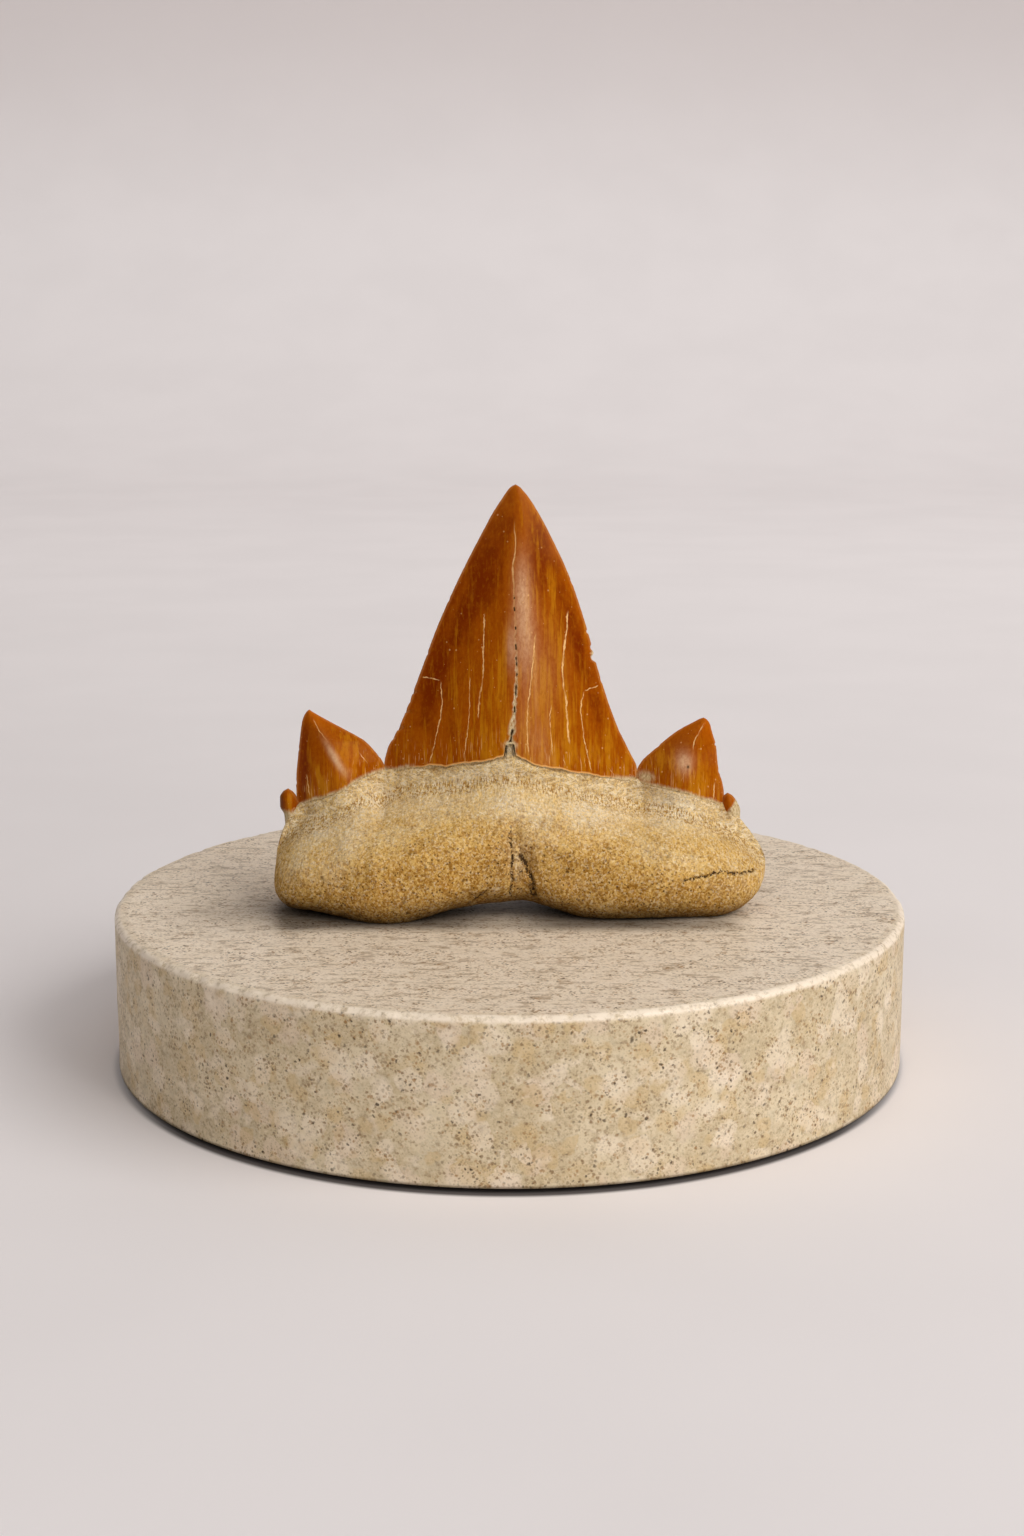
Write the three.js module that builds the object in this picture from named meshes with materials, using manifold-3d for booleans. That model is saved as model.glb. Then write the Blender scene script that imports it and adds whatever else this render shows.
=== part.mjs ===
// A fossil shark tooth standing on its two root lobes, on a round slab of stone.
// Millimetres, +Z up. The tooth's inner (lingual) face looks towards -Y, and the
// origin is the middle of the slab's underside.
//
// The tooth grew as one piece: closed shells for the root, the main cusp, its two
// cusplets and the two end nubs are worked out from formulas and joined to one solid.

import * as THREE from "three";
import { mergeVertices } from "three/addons/utils/BufferGeometryUtils.js";
import Module from "manifold-3d";

const wasm = await Module();
wasm.setup();

// The stone slab.
const slab = {
  radius: 50,
  thickness: 20,
  topRound: 1.2,
  footRound: 0.4,
  roundSteps: 3,
  sides: 84,
};

// The plane through the cutting edges of all the cusps, a little in front of the slab's middle.
const bladePlane = -1.8;

// How far the enamel stands proud of the root along its lower edge.
const enamelLip = 0.3;

// Points of a cusp's section are crowded towards its ridge and its two cutting edges:
// 0 spreads them evenly, 1 would make them meet there. Rows are crowded towards the tip,
// where 1 is even. A cusp's faces thin out with this power of its width.
const crowding = 0.72;
const rowCrowding = 1.15;
const thinning = 0.9;

// The rings that close a cusp below its enamel, inside the root: shares of the section's
// depth and width, and how far they lie under the enamel's edge. The last is its lip.
const footRings = [
  { depth: 0.35, width: 0.8, drop: 1.2 },
  { depth: 0.84, width: 0.97, drop: 0.1 },
];
const footDrop = 0.5;

// A cusp is a stack of lens sections. Every pair is [height above the slab, x].
// frontBase and backBase are the thickness of its two faces at the base, and the
// powers say how sharp the ridge of a face is: 1 is a roof, 2 a round barrel.
// ridgeShift moves the ridge sideways from the middle, and tipLean moves the tip back.
const mainCusp = {
  tip: [0.7, 52.45],
  left: [[12, -16.3], [17.8, -15.75], [19.3, -15.42], [22.5, -13.76], [28.7, -11.33], [34.8, -9.05],
    [40.8, -6.54], [46.7, -3.56], [49.2, -2.21], [50.7, -1.22], [51.6, -0.61], [52.2, 0.05], [52.45, 0.7]],
  right: [[12, 16.5], [17.0, 16.04], [19.3, 15.0], [22.5, 13.46], [28.8, 11.27], [34.8, 9.59],
    [40.8, 7.57], [46.7, 4.81], [49.2, 3.45], [50.7, 2.5], [51.6, 1.78], [52.2, 1.2], [52.45, 0.7]],
  baseHeight: 17,
  frontBase: 6.0,
  backBase: 3.0,
  frontPower: [1.5, 1.22],
  backPower: 2.1,
  ridgeShift: 0.75,
  tipLean: 1.3,
  // Lower edge of the enamel, [x, height], on the front and on the back.
  frontLine: [[-15.8, 17.2], [-14.8, 17.2], [-12.5, 17.5], [-7.4, 18.1], [-2.4, 19.05], [-0.75, 19.55],
    [0.1, 21.1], [0.95, 19.6], [2.5, 18.95], [6.2, 17.7], [11.3, 16.65], [15.9, 16.2]],
  backLine: [[-15.8, 15.6], [-14, 14.4], [-8, 13.9], [0, 12.6], [8, 13.7], [14, 14.2], [15.9, 15.4]],
  rows: 30,
  columns: 16,
};

const leftCusplet = {
  tip: [-25.1, 24.45],
  left: [[9, -26.5], [12.5, -26.85], [14.8, -26.94], [18.6, -26.62], [21.2, -26.32], [23.1, -26.0],
    [24.2, -25.45], [24.45, -25.1]],
  right: [[9, -14.8], [15, -15.2], [17.2, -15.7], [18.0, -16.06], [19.3, -17.05], [20.6, -18.35],
    [21.85, -20.54], [23.1, -22.85], [24.2, -24.75], [24.45, -25.1]],
  baseHeight: 15,
  frontBase: 3.1,
  backBase: 2.2,
  frontPower: [1.55, 1.2],
  backPower: 2.0,
  ridgeShift: 0,
  tipLean: 0.3,
  frontLine: [[-26.9, 12.0], [-25.1, 13.15], [-23.1, 14.2], [-21.2, 15.55], [-19.3, 16.45], [-17.5, 17.1],
    [-15.7, 17.2]],
  backLine: [[-26.9, 11.2], [-24.5, 10.9], [-21, 11.6], [-17.5, 13.6], [-15.7, 15.4]],
  rows: 13,
  columns: 9,
};

const rightCusplet = {
  tip: [24.35, 23.55],
  left: [[9, 15.1], [15, 15.5], [17.0, 16.04], [18.07, 16.53], [19.35, 17.89], [20.6, 19.26],
    [21.9, 20.99], [23.0, 23.0], [23.4, 23.85], [23.55, 24.35]],
  right: [[9, 27.2], [13.6, 27.06], [14.9, 26.91], [16.15, 26.51], [17.4, 26.23], [20.0, 25.93],
    [21.3, 25.52], [22.6, 25.2], [23.3, 24.75], [23.55, 24.35]],
  baseHeight: 15,
  frontBase: 3.1,
  backBase: 2.2,
  frontPower: [1.55, 1.2],
  backPower: 2.0,
  ridgeShift: 0.7,
  tipLean: 0.3,
  frontLine: [[16.0, 15.9], [18.2, 15.85], [20.0, 15.7], [22.5, 15.1], [24.5, 14.35], [25.85, 13.65],
    [27.1, 12.9]],
  backLine: [[16.0, 15.2], [18, 13.6], [21.5, 11.8], [25, 11.2], [27.1, 11.4]],
  rows: 13,
  columns: 9,
};

const leftNub = {
  tip: [-27.95, 14.4],
  left: [[8.0, -28.3], [9.6, -28.4], [11.0, -28.5], [12.1, -29.0], [13.2, -29.0], [14.0, -28.6],
    [14.4, -27.95]],
  right: [[8.0, -26.2], [11.0, -26.6], [12.4, -26.5], [13.3, -26.85], [14.0, -27.35], [14.4, -27.95]],
  baseHeight: 12,
  frontBase: 1.0,
  backBase: 0.9,
  frontPower: [2, 2],
  backPower: 2,
  ridgeShift: 0,
  tipLean: 0,
  frontLine: [[-28.5, 8.2], [-26.5, 8.2]],
  backLine: [[-28.5, 8.2], [-26.5, 8.2]],
  rows: 10,
  columns: 5,
};

const rightNub = {
  tip: [27.5, 13.85],
  left: [[8.0, 26.6], [12.5, 26.7], [13.4, 26.95], [13.85, 27.5]],
  right: [[8.0, 29.6], [10.6, 29.15], [11.6, 29.15], [12.6, 28.75], [13.5, 28.1], [13.85, 27.5]],
  baseHeight: 11,
  frontBase: 1.2,
  backBase: 1.1,
  frontPower: [2, 1.7],
  backPower: 2,
  ridgeShift: 0,
  tipLean: 0,
  frontLine: [[26.7, 8.6], [29.6, 8.6]],
  backLine: [[26.7, 8.6], [29.6, 8.6]],
  rows: 8,
  columns: 5,
};

const cusps = [mainCusp, leftCusplet, rightCusplet, leftNub, rightNub];

// The root is a bar along X. Its cross-section is a closed curve through a few
// points whose places follow these curves along the tooth, each as [x, value].
const root = {
  left: -29.3,
  right: 32.0,
  // Where the rounded ends begin, how blunt they are, and the height and depth they close on.
  leftEnd: { start: -24.6, bluntness: 2.8, height: 4.6, depth: -5.6 },
  rightEnd: { start: 25.4, bluntness: 2.3, height: 6.1, depth: -5.4 },
  // Heights below 0 are worn level where the lobes stand on the stone.
  underside: [[-29.3, -0.2], [-25, 0.2], [-21, 0.1], [-18.5, -0.35], [-15.5, -0.7], [-12, -0.35],
    [-8.7, 0.7], [-5, 1.45], [0, 1.7], [4, 1.45], [6.5, 0.75], [9, -0.1], [12.5, -0.6], [20, -0.5],
    [26, -0.3], [32, 0.2]],
  // How far the front swells out towards -Y, and where the flat back lies.
  bulge: [[-29.3, -10.6], [-24, -12.8], [-15.5, -15.4], [-8, -14.3], [-3, -13.1], [1, -12.7],
    [7, -13.4], [14, -13.9], [22, -12.9], [28, -11.4], [32, -10.4]],
  back: [[-29.3, -0.2], [-24, 0.9], [-15, 2.1], [-6, 1.9], [0, 1.5], [6, 1.9], [15, 2.1],
    [24, 0.9], [32, -0.4]],
  // Where the root meets the enamel.
  frontLine: [[-29.3, 10.5], [-26.9, 12.0], [-25.1, 13.15], [-23.1, 14.2], [-21.2, 15.55],
    [-19.3, 16.45], [-17.5, 16.9], [-15.8, 16.4], [-14.6, 17.1], [-12.5, 17.5], [-7.4, 18.1],
    [-2.4, 19.05], [0.1, 20.3], [2.5, 18.95], [6.2, 17.7], [11.3, 16.65], [15.9, 15.9],
    [18.2, 15.85], [20.0, 15.7], [22.5, 15.1], [24.5, 14.35], [27.1, 12.9], [29.2, 11.2], [32, 8.2]],
  backLine: [[-29.3, 9.6], [-26.5, 11.0], [-21, 11.6], [-17.5, 13.6], [-15.8, 15.4], [-14, 14.4], [-8, 13.9],
    [0, 12.6], [8, 13.7], [14, 14.2], [15.9, 15.2], [18, 13.6], [21.5, 11.8], [27, 11.4], [32, 7.6]],
  // Share of the way up from the underside to the enamel, and out from the band to the bulge:
  // the swelling below, then the ledge and the band under the enamel, which follow its folds.
  swelling: [[0.1, 0.93], [0.28, 1.0], [0.5, 0.94], [0.68, 0.62]],
  ledge: [[0.84, 0.14], [1.0, 0.0]],
  backFace: [[0.66, 0.85], [0.4, 1.0]],
  // The flat sole starts this far in from the front and the back, and the back's lower turn.
  sole: { fromFront: 3.2, fromBack: 2.8, turnIn: 0.5, turnUp: 1.9 },
  // Least distance of the root's faces from the blade plane, which shows in the notches.
  thinnest: { front: 0.8, back: 0.7 },
  // How far the hidden top reaches above the enamel's edge, between the cusps and inside them.
  topRise: [0.6, 2.4],
  // The swellings are averaged over this much to either side.
  softening: 2.4,
  bandSoftening: 3.6,
  capSteps: 7,
  middleSteps: 46,
  columns: 39,
};

// The nutrient groove down the middle of the root: it widens, deepens and drifts
// to one side on its way down from its upper end.
const groove = { top: 14.5, run: 11, x: 0, drift: 1.4, width: [0.8, 1.9], depth: [0.2, 1.15] };

// The groove and the pits fade out towards the blade plane, and reach the sole only weakly.
const reliefFade = { start: 2, run: 4, onSole: 0.2 };

// Pits and short furrows in the root's front: x, height, half sizes and depth.
const pits = [
  { x: 2.2, z: 7.4, halfX: 0.7, halfZ: 1.5, depth: 0.6 },
  { x: 24.5, z: 7.0, halfX: 3.6, halfZ: 0.55, depth: 0.35 },
  { x: -4.2, z: 3.1, halfX: 1.6, halfZ: 0.7, depth: 0.35 },
  { x: 16.3, z: 14.4, halfX: 0.8, halfZ: 1.1, depth: 0.5 },
  { x: -16.0, z: 15.0, halfX: 0.7, halfZ: 1.4, depth: 0.5 },
];

// Corners closer than this are one corner.
const mergeDistance = 1e-4;

const clamp = THREE.MathUtils.clamp;
const lerp = THREE.MathUtils.lerp;

// A smooth curve through [place, value] stations that never overshoots them.
function curveThrough(stations) {
  const places = stations.map((station) => station[0]);
  const values = stations.map((station) => station[1]);
  const last = places.length - 1;
  const rise = [];
  for (let i = 0; i < last; i++) {
    rise.push((values[i + 1] - values[i]) / (places[i + 1] - places[i]));
  }
  const slope = places.map((_, i) => {
    if (i === 0) return rise[0];
    if (i === last) return rise[last - 1];
    const before = rise[i - 1];
    const after = rise[i];
    return before * after > 0 ? (2 * before * after) / (before + after) : 0;
  });
  return (place) => {
    const at = clamp(place, places[0], places[last]);
    let i = 0;
    while (i < last - 1 && at > places[i + 1]) i++;
    const span = places[i + 1] - places[i];
    const t = (at - places[i]) / span;
    const fromStart = (1 + 2 * t) * (1 - t) ** 2 * values[i] + t * (1 - t) ** 2 * span * slope[i];
    const fromEnd = t * t * (3 - 2 * t) * values[i + 1] + t * t * (t - 1) * span * slope[i + 1];
    return fromStart + fromEnd;
  };
}

// A curve averaged over a stretch to either side, so that swellings run into each other.
function softened(curve, reach) {
  const samples = 9;
  return (place) => {
    let sum = 0;
    for (let i = 0; i < samples; i++) {
      sum += curve(place + reach * ((2 * i) / (samples - 1) - 1));
    }
    return sum / samples;
  };
}

// A closed surface from a first pole, rings of equally many points and a last pole.
function closedShell(firstPole, rings, lastPole) {
  const count = rings[0].length;
  const positions = [...firstPole, ...rings.flat(2), ...lastPole];
  const index = [];
  const lastIndex = 1 + rings.length * count;
  const vertex = (ring, column) => 1 + ring * count + (column % count);
  for (let column = 0; column < count; column++) {
    index.push(0, vertex(0, column + 1), vertex(0, column));
    index.push(lastIndex, vertex(rings.length - 1, column), vertex(rings.length - 1, column + 1));
    for (let ring = 0; ring < rings.length - 1; ring++) {
      const a = vertex(ring, column);
      const b = vertex(ring, column + 1);
      const c = vertex(ring + 1, column + 1);
      const d = vertex(ring + 1, column);
      index.push(a, b, c, a, c, d);
    }
  }
  const geometry = new THREE.BufferGeometry();
  geometry.setAttribute("position", new THREE.Float32BufferAttribute(positions, 3));
  geometry.setIndex(index);
  return geometry;
}

// The lens sections of one cusp as functions of the height.
function cuspForm(cusp) {
  const left = curveThrough(cusp.left);
  const right = curveThrough(cusp.right);
  const baseWidth = right(cusp.baseHeight) - left(cusp.baseHeight);
  const widthShare = (height) => clamp((right(height) - left(height)) / baseWidth, 0, 1.05);
  const ridge = (height) => {
    const middle = (left(height) + right(height)) / 2;
    return middle + cusp.ridgeShift * Math.sqrt(widthShare(height));
  };
  const rise = (height) => (height - cusp.baseHeight) / (cusp.tip[1] - cusp.baseHeight);
  return {
    // side runs from -1 on the left cutting edge through 0 on the ridge to 1 on the right one.
    x: (height, side) => lerp(ridge(height), side < 0 ? left(height) : right(height), Math.abs(side)),
    side: (height, x) => {
      const from = ridge(height);
      return x < from ? (x - from) / (from - left(height)) : (x - from) / (right(height) - from);
    },
    // Distance of the front and back faces from the blade plane.
    front: (height, side) => {
      const share = widthShare(height);
      const power = lerp(cusp.frontPower[1], cusp.frontPower[0], clamp(share, 0, 1));
      return cusp.frontBase * share ** thinning * (1 - Math.abs(side) ** power);
    },
    back: (height, side) => (
      cusp.backBase * widthShare(height) ** thinning * (1 - Math.abs(side) ** cusp.backPower)
    ),
    lean: (height) => cusp.tipLean * clamp(rise(height), 0, 1) ** 2,
    frontLine: curveThrough(cusp.frontLine),
    backLine: curveThrough(cusp.backLine),
  };
}

// One cusp: rings that start on the enamel's lower edge and close up towards the tip.
function cuspShell(cusp) {
  const form = cuspForm(cusp);
  const footX = (side) => form.x(cusp.baseHeight, side);
  const around = [];
  for (let step = 0; step < 2 * cusp.columns; step++) {
    const isFront = step <= cusp.columns;
    const even = 1 - Math.abs(2 - (2 * step) / cusp.columns);
    const side = even - (crowding * Math.sin(2 * Math.PI * even)) / (2 * Math.PI);
    const frontLine = form.frontLine(footX(side));
    const backLine = form.backLine(footX(side));
    const isEdge = step % cusp.columns === 0;
    const faceLine = isFront ? frontLine : backLine;
    around.push({ side, isFront, line: isEdge ? Math.max(frontLine, backLine) : faceLine });
  }
  const ringAt = (rise, inset) => around.map(({ side, isFront, line }) => {
    const height = lerp(line, cusp.tip[1], rise);
    const depth = isFront ? -form.front(height, side) : form.back(height, side);
    const x = form.x(height, side * inset.width);
    const y = bladePlane + form.lean(height) + depth * inset.depth;
    return [x, y, slab.thickness + height - inset.drop];
  });
  const rings = footRings.map((ring) => ringAt(0, ring));
  for (let row = 0; row < cusp.rows; row++) {
    rings.push(ringAt(1 - (1 - row / cusp.rows) ** rowCrowding, { depth: 1, width: 1, drop: 0 }));
  }
  const lowest = Math.min(...around.map((point) => point.line));
  const base = [footX(0), bladePlane, slab.thickness + lowest - footDrop];
  const tip = [cusp.tip[0], bladePlane + cusp.tipLean, slab.thickness + cusp.tip[1]];
  return closedShell(base, rings, tip);
}

// How far the enamel of any cusp stands from the blade plane at a place on its lower edge.
function enamelDepth(x, height, face) {
  let depth = 0;
  for (const form of cuspForms) {
    const side = form.side(height, x);
    if (Math.abs(side) < 1) depth = Math.max(depth, form[face](height, side));
  }
  return depth;
}

// The root's face under the front enamel, a lip's depth behind it.
function bandFace(x) {
  const cover = enamelDepth(x, rootCurves.frontLine(x), "front");
  return bladePlane - Math.max(cover - enamelLip, root.thinnest.front);
}

// How deep the groove and the pits cut into the root's front.
function frontRelief(x, height) {
  const down = clamp((groove.top - height) / groove.run, 0, 1);
  const across = (x - groove.x - groove.drift * down) / lerp(groove.width[0], groove.width[1], down);
  const open = THREE.MathUtils.smoothstep(groove.top - height, -1, 2);
  let cut = open * lerp(groove.depth[0], groove.depth[1], down) * Math.exp(-across * across);
  for (const pit of pits) {
    const away = ((x - pit.x) / pit.halfX) ** 2 + ((height - pit.z) / pit.halfZ) ** 2;
    cut += pit.depth * Math.exp(-away);
  }
  return cut;
}

// The points that the root's section runs through at x, as [y, height]: along the
// underside, up the bulging front to the enamel, over the hidden top and down the back.
function rootSection(x) {
  const under = rootCurves.underside(x);
  const bulge = rootCurves.bulge(x);
  const back = rootCurves.back(x);
  const line = rootCurves.frontLine(x);
  const backLine = rootCurves.backLine(x);
  const softLine = rootCurves.softLine(x);
  const softBand = rootCurves.softBand(x);
  const coverFront = enamelDepth(x, line, "front");
  const coverBack = enamelDepth(x, backLine, "back");
  const band = bandFace(x);
  const backBand = bladePlane + Math.max(coverBack - enamelLip, root.thinnest.back);
  const [shallow, deep] = root.topRise;
  const top = line + lerp(shallow, deep, clamp(coverFront / mainCusp.frontBase, 0, 1));
  const { sole } = root;
  const points = [[(bulge + back) / 2, under], [bulge + sole.fromFront, under]];
  for (const [up, out] of root.swelling) {
    points.push([lerp(softBand, bulge, out), lerp(under, softLine, up)]);
  }
  for (const [up, out] of root.ledge) {
    points.push([lerp(band, bulge, out), lerp(under, line, up)]);
  }
  points.push([bladePlane, top]);
  points.push([backBand, backLine]);
  for (const [up, out] of root.backFace) {
    points.push([lerp(backBand, back, out), lerp(under, backLine, up)]);
  }
  points.push([back - sole.turnIn, under + sole.turnUp]);
  points.push([back - sole.fromBack, under]);
  return points;
}

// Places along the root with how far each section has closed, 1 in the middle and 0 at
// the very ends. The ends are superellipses, so they come out blunt and round.
function rootPlaces() {
  const places = [];
  const { leftEnd, rightEnd, capSteps, middleSteps } = root;
  const cap = (end, tipX, step) => {
    const turn = (Math.PI / 2) * (step / capSteps);
    const along = Math.sin(turn) ** (2 / end.bluntness);
    const open = Math.cos(turn) ** (2 / end.bluntness);
    return { x: lerp(end.start, tipX, along), open, end };
  };
  for (let step = capSteps - 1; step > 0; step--) places.push(cap(leftEnd, root.left, step));
  for (let step = 0; step <= middleSteps; step++) {
    places.push({ x: lerp(leftEnd.start, rightEnd.start, step / middleSteps), open: 1, end: leftEnd });
  }
  for (let step = 1; step < capSteps; step++) places.push(cap(rightEnd, root.right, step));
  return places;
}

function rootShell() {
  const rings = rootPlaces().map(({ x, open, end }) => {
    const section = rootSection(x).map(([y, height]) => new THREE.Vector3(
      0,
      lerp(end.depth, y, open),
      lerp(end.height, height, open),
    ));
    const outline = new THREE.CatmullRomCurve3(section, true, "catmullrom", 0.5);
    const ring = [];
    for (let column = 0; column < root.columns; column++) {
      const point = outline.getPoint(1 - column / root.columns);
      const frontness = clamp((bladePlane - reliefFade.start - point.y) / reliefFade.run, 0, 1);
      const cut = frontRelief(x, point.z) * frontness * open;
      const height = Math.max(point.z + reliefFade.onSole * cut, 0);
      ring.push([x, point.y + cut, slab.thickness + height]);
    }
    return ring;
  });
  const pole = (x, end) => [x, end.depth, slab.thickness + end.height];
  return closedShell(pole(root.left, root.leftEnd), rings, pole(root.right, root.rightEnd));
}

const cuspForms = cusps.map(cuspForm);
const rootCurves = {
  underside: softened(curveThrough(root.underside), root.softening),
  bulge: softened(curveThrough(root.bulge), root.softening),
  back: softened(curveThrough(root.back), root.softening),
  frontLine: curveThrough(root.frontLine),
  backLine: curveThrough(root.backLine),
  softLine: softened(curveThrough(root.frontLine), root.softening),
  softBand: softened(bandFace, root.bandSoftening),
};

// Booleans: a closed three.js geometry to a solid and back.
function solidOf(geometry) {
  const merged = mergeVertices(geometry, mergeDistance);
  return new wasm.Manifold(new wasm.Mesh({
    numProp: 3,
    vertProperties: Float32Array.from(merged.attributes.position.array),
    triVerts: Uint32Array.from(merged.index.array),
  }));
}

function geometryOf(solid) {
  const mesh = solid.getMesh();
  const geometry = new THREE.BufferGeometry();
  geometry.setAttribute("position", new THREE.BufferAttribute(Float32Array.from(mesh.vertProperties), 3));
  geometry.setIndex(new THREE.BufferAttribute(Uint32Array.from(mesh.triVerts), 1));
  geometry.computeVertexNormals();
  return geometry;
}

function toothGeometry() {
  const joined = cusps.reduce(
    (solid, cusp) => solid.add(solidOf(cuspShell(cusp))),
    solidOf(rootShell()),
  );
  return geometryOf(joined);
}

// The slab is turned from a profile with a rounded rim and a small rounded foot.
function slabGeometry() {
  const { radius, thickness, topRound, footRound, roundSteps, sides } = slab;
  const profile = [new THREE.Vector2(0, 0)];
  for (let step = 0; step <= roundSteps - 1; step++) {
    const turn = (Math.PI / 2) * (step / (roundSteps - 1));
    profile.push(new THREE.Vector2(
      radius - footRound + footRound * Math.sin(turn),
      footRound - footRound * Math.cos(turn),
    ));
  }
  for (let step = 0; step <= roundSteps; step++) {
    const turn = (Math.PI / 2) * (step / roundSteps);
    profile.push(new THREE.Vector2(
      radius - topRound + topRound * Math.cos(turn),
      thickness - topRound + topRound * Math.sin(turn),
    ));
  }
  profile.push(new THREE.Vector2(0, thickness));
  const geometry = new THREE.LatheGeometry(profile, sides);
  geometry.rotateX(Math.PI / 2);
  return geometry;
}

const toothMaterial = new THREE.MeshStandardMaterial({ color: 0xc19a62, roughness: 0.5, metalness: 0 });
const stoneMaterial = new THREE.MeshStandardMaterial({ color: 0xc8bca5, roughness: 0.6, metalness: 0 });

const tooth = new THREE.Mesh(toothGeometry(), toothMaterial);
tooth.name = "tooth";

const stoneDisc = new THREE.Mesh(slabGeometry(), stoneMaterial);
stoneDisc.name = "stone_disc";

const fossilOnStand = new THREE.Group();
fossilOnStand.name = "shark_tooth_on_stand";
fossilOnStand.add(tooth, stoneDisc);

export default fossilOnStand;
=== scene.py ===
import functools
import itertools
import math

import bpy
import numpy as np
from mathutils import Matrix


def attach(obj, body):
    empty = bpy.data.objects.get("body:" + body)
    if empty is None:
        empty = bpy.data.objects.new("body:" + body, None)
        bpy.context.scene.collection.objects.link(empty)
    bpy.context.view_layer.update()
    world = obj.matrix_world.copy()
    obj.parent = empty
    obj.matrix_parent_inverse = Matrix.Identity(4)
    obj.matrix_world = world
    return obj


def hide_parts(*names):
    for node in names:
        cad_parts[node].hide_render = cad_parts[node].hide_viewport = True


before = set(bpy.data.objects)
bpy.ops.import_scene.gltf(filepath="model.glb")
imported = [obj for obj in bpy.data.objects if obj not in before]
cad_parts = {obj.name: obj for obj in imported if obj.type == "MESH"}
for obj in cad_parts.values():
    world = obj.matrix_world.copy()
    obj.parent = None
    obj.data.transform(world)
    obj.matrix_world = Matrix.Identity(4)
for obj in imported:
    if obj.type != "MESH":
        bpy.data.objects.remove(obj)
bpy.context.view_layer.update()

millimetre = 0.001
print("frame loaded:", sorted(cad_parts))


# Curves, steps and noise that the surfaces are worked out with.

# A smooth curve through [place, value] stations that never overshoots them: cubic
# pieces whose slope at a station is the harmonic mean of the rises on its two sides.
def curveThrough(stations):
    places, values = np.array(stations, float).T
    span = np.diff(places)
    rise = np.diff(values) / span
    before, after = rise[:-1], rise[1:]
    sameWay = before * after > 0
    inner = np.where(sameWay, 2 * before * after / np.where(sameWay, before + after, 1), 0)
    slope = np.concatenate([rise[:1], inner, rise[-1:]])

    def curve(place):
        at = np.clip(place, places[0], places[-1])
        i = np.clip(np.searchsorted(places, at, side="right") - 1, 0, len(span) - 1)
        t = (at - places[i]) / span[i]
        fromStart = (1 + 2 * t) * (1 - t) ** 2 * values[i] + t * (1 - t) ** 2 * span[i] * slope[i]
        fromEnd = t * t * (3 - 2 * t) * values[i + 1] + t * t * (t - 1) * span[i] * slope[i + 1]
        return fromStart + fromEnd
    return curve


# The mean of nine samples of a curve over a stretch to either side.
def softened(curve, reach):
    return lambda place: sum(curve(place + reach * step / 4) for step in range(-4, 5)) / 9


# A share of the way from low to high.
def mix(low, high, share):
    return low + (high - low) * share


# 0 below low, 1 above high, and an eased cubic step between. low may be the larger.
def easedStep(low, high, value):
    t = np.clip((value - low) / (high - low), 0, 1)
    return t * t * (3 - 2 * t)


# 1 at the centre, falling off as a bell to either side.
def bell(value, centre, width):
    return np.exp(-((value - centre) / width) ** 2)


# The sum of an amount times two bells, for rows of amount, x, half width, level, half height.
def bells(x, level, rows):
    return sum(amount * bell(x, at, wide) * bell(level, up, tall) for amount, at, wide, up, tall in rows)


# A repeatable random number from 0 to 1 for each whole-number cell.
def cellChance(cell, seed):
    n = (cell[..., 0] * 73856093) ^ (cell[..., 1] * 19349663) ^ (cell[..., 2] * 83492791) ^ (seed * 668265263)
    n = n & 0xffffffff
    n = ((n ^ (n >> 15)) * 2246822519) & 0xffffffff
    n = ((n ^ (n >> 13)) * 3266489917) & 0xffffffff
    return ((n ^ (n >> 16)) & 0xffffffff) / 0xffffffff


# Soft lumps from -1 to 1: random values on the corners of cubes of that size (one size,
# or one for each axis), blended with eased weights.
def lumps(points, size, seed):
    at = points / np.asarray(size, float)
    cell = np.floor(at).astype(np.int64)
    ease = at - cell
    ease = ease * ease * (3 - 2 * ease)
    total = np.zeros(points.shape[:-1])
    for corner in itertools.product((0, 1), repeat=3):
        weight = np.prod(np.where(np.array(corner) == 1, ease, 1 - ease), axis=-1)
        total += weight * cellChance(cell + np.array(corner), seed)
    return total * 2 - 1


# The sum of an amount times lumps, for rows of amount, size, seed.
def lumpSum(points, *rows):
    return sum(amount * lumps(points, size, seed) for amount, size, seed in rows)


# Distance to the nearest of the points that are scattered one to each cube, in cube sizes.
def grainDistance(points, size, seed):
    at = points / size
    cell = np.floor(at).astype(np.int64)
    nearest = np.full(points.shape[:-1], 9.0)
    for step in itertools.product((-1, 0, 1), repeat=3):
        other = cell + np.array(step)
        spot = other + np.stack([cellChance(other, seed + axis) for axis in range(3)], -1)
        nearest = np.minimum(nearest, ((spot - at) ** 2).sum(-1))
    return np.sqrt(nearest)


# Distance of flat points (x, height) from a line drawn through [x, height] corners.
def lineDistance(x, height, path):
    corners = np.array(path, float)
    nearest = np.full(x.shape, 1e9)
    for (x0, h0), (x1, h1) in zip(corners[:-1], corners[1:]):
        run, climb = x1 - x0, h1 - h0
        along = np.clip(((x - x0) * run + (height - h0) * climb) / (run * run + climb * climb), 0, 1)
        nearest = np.minimum(nearest, np.hypot(x - x0 - along * run, height - h0 - along * climb))
    return nearest


# Meshes: every piece is a grid of rings and columns closed by a pole at each end.

# Outward unit normals of a grid of points, from the steps to the neighbours.
def gridNormals(grid):
    around = np.roll(grid, -1, axis=1) - np.roll(grid, 1, axis=1)
    normal = np.cross(around, np.gradient(grid, axis=0))
    return normal / np.maximum(np.linalg.norm(normal, axis=-1, keepdims=True), 1e-12)


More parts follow.
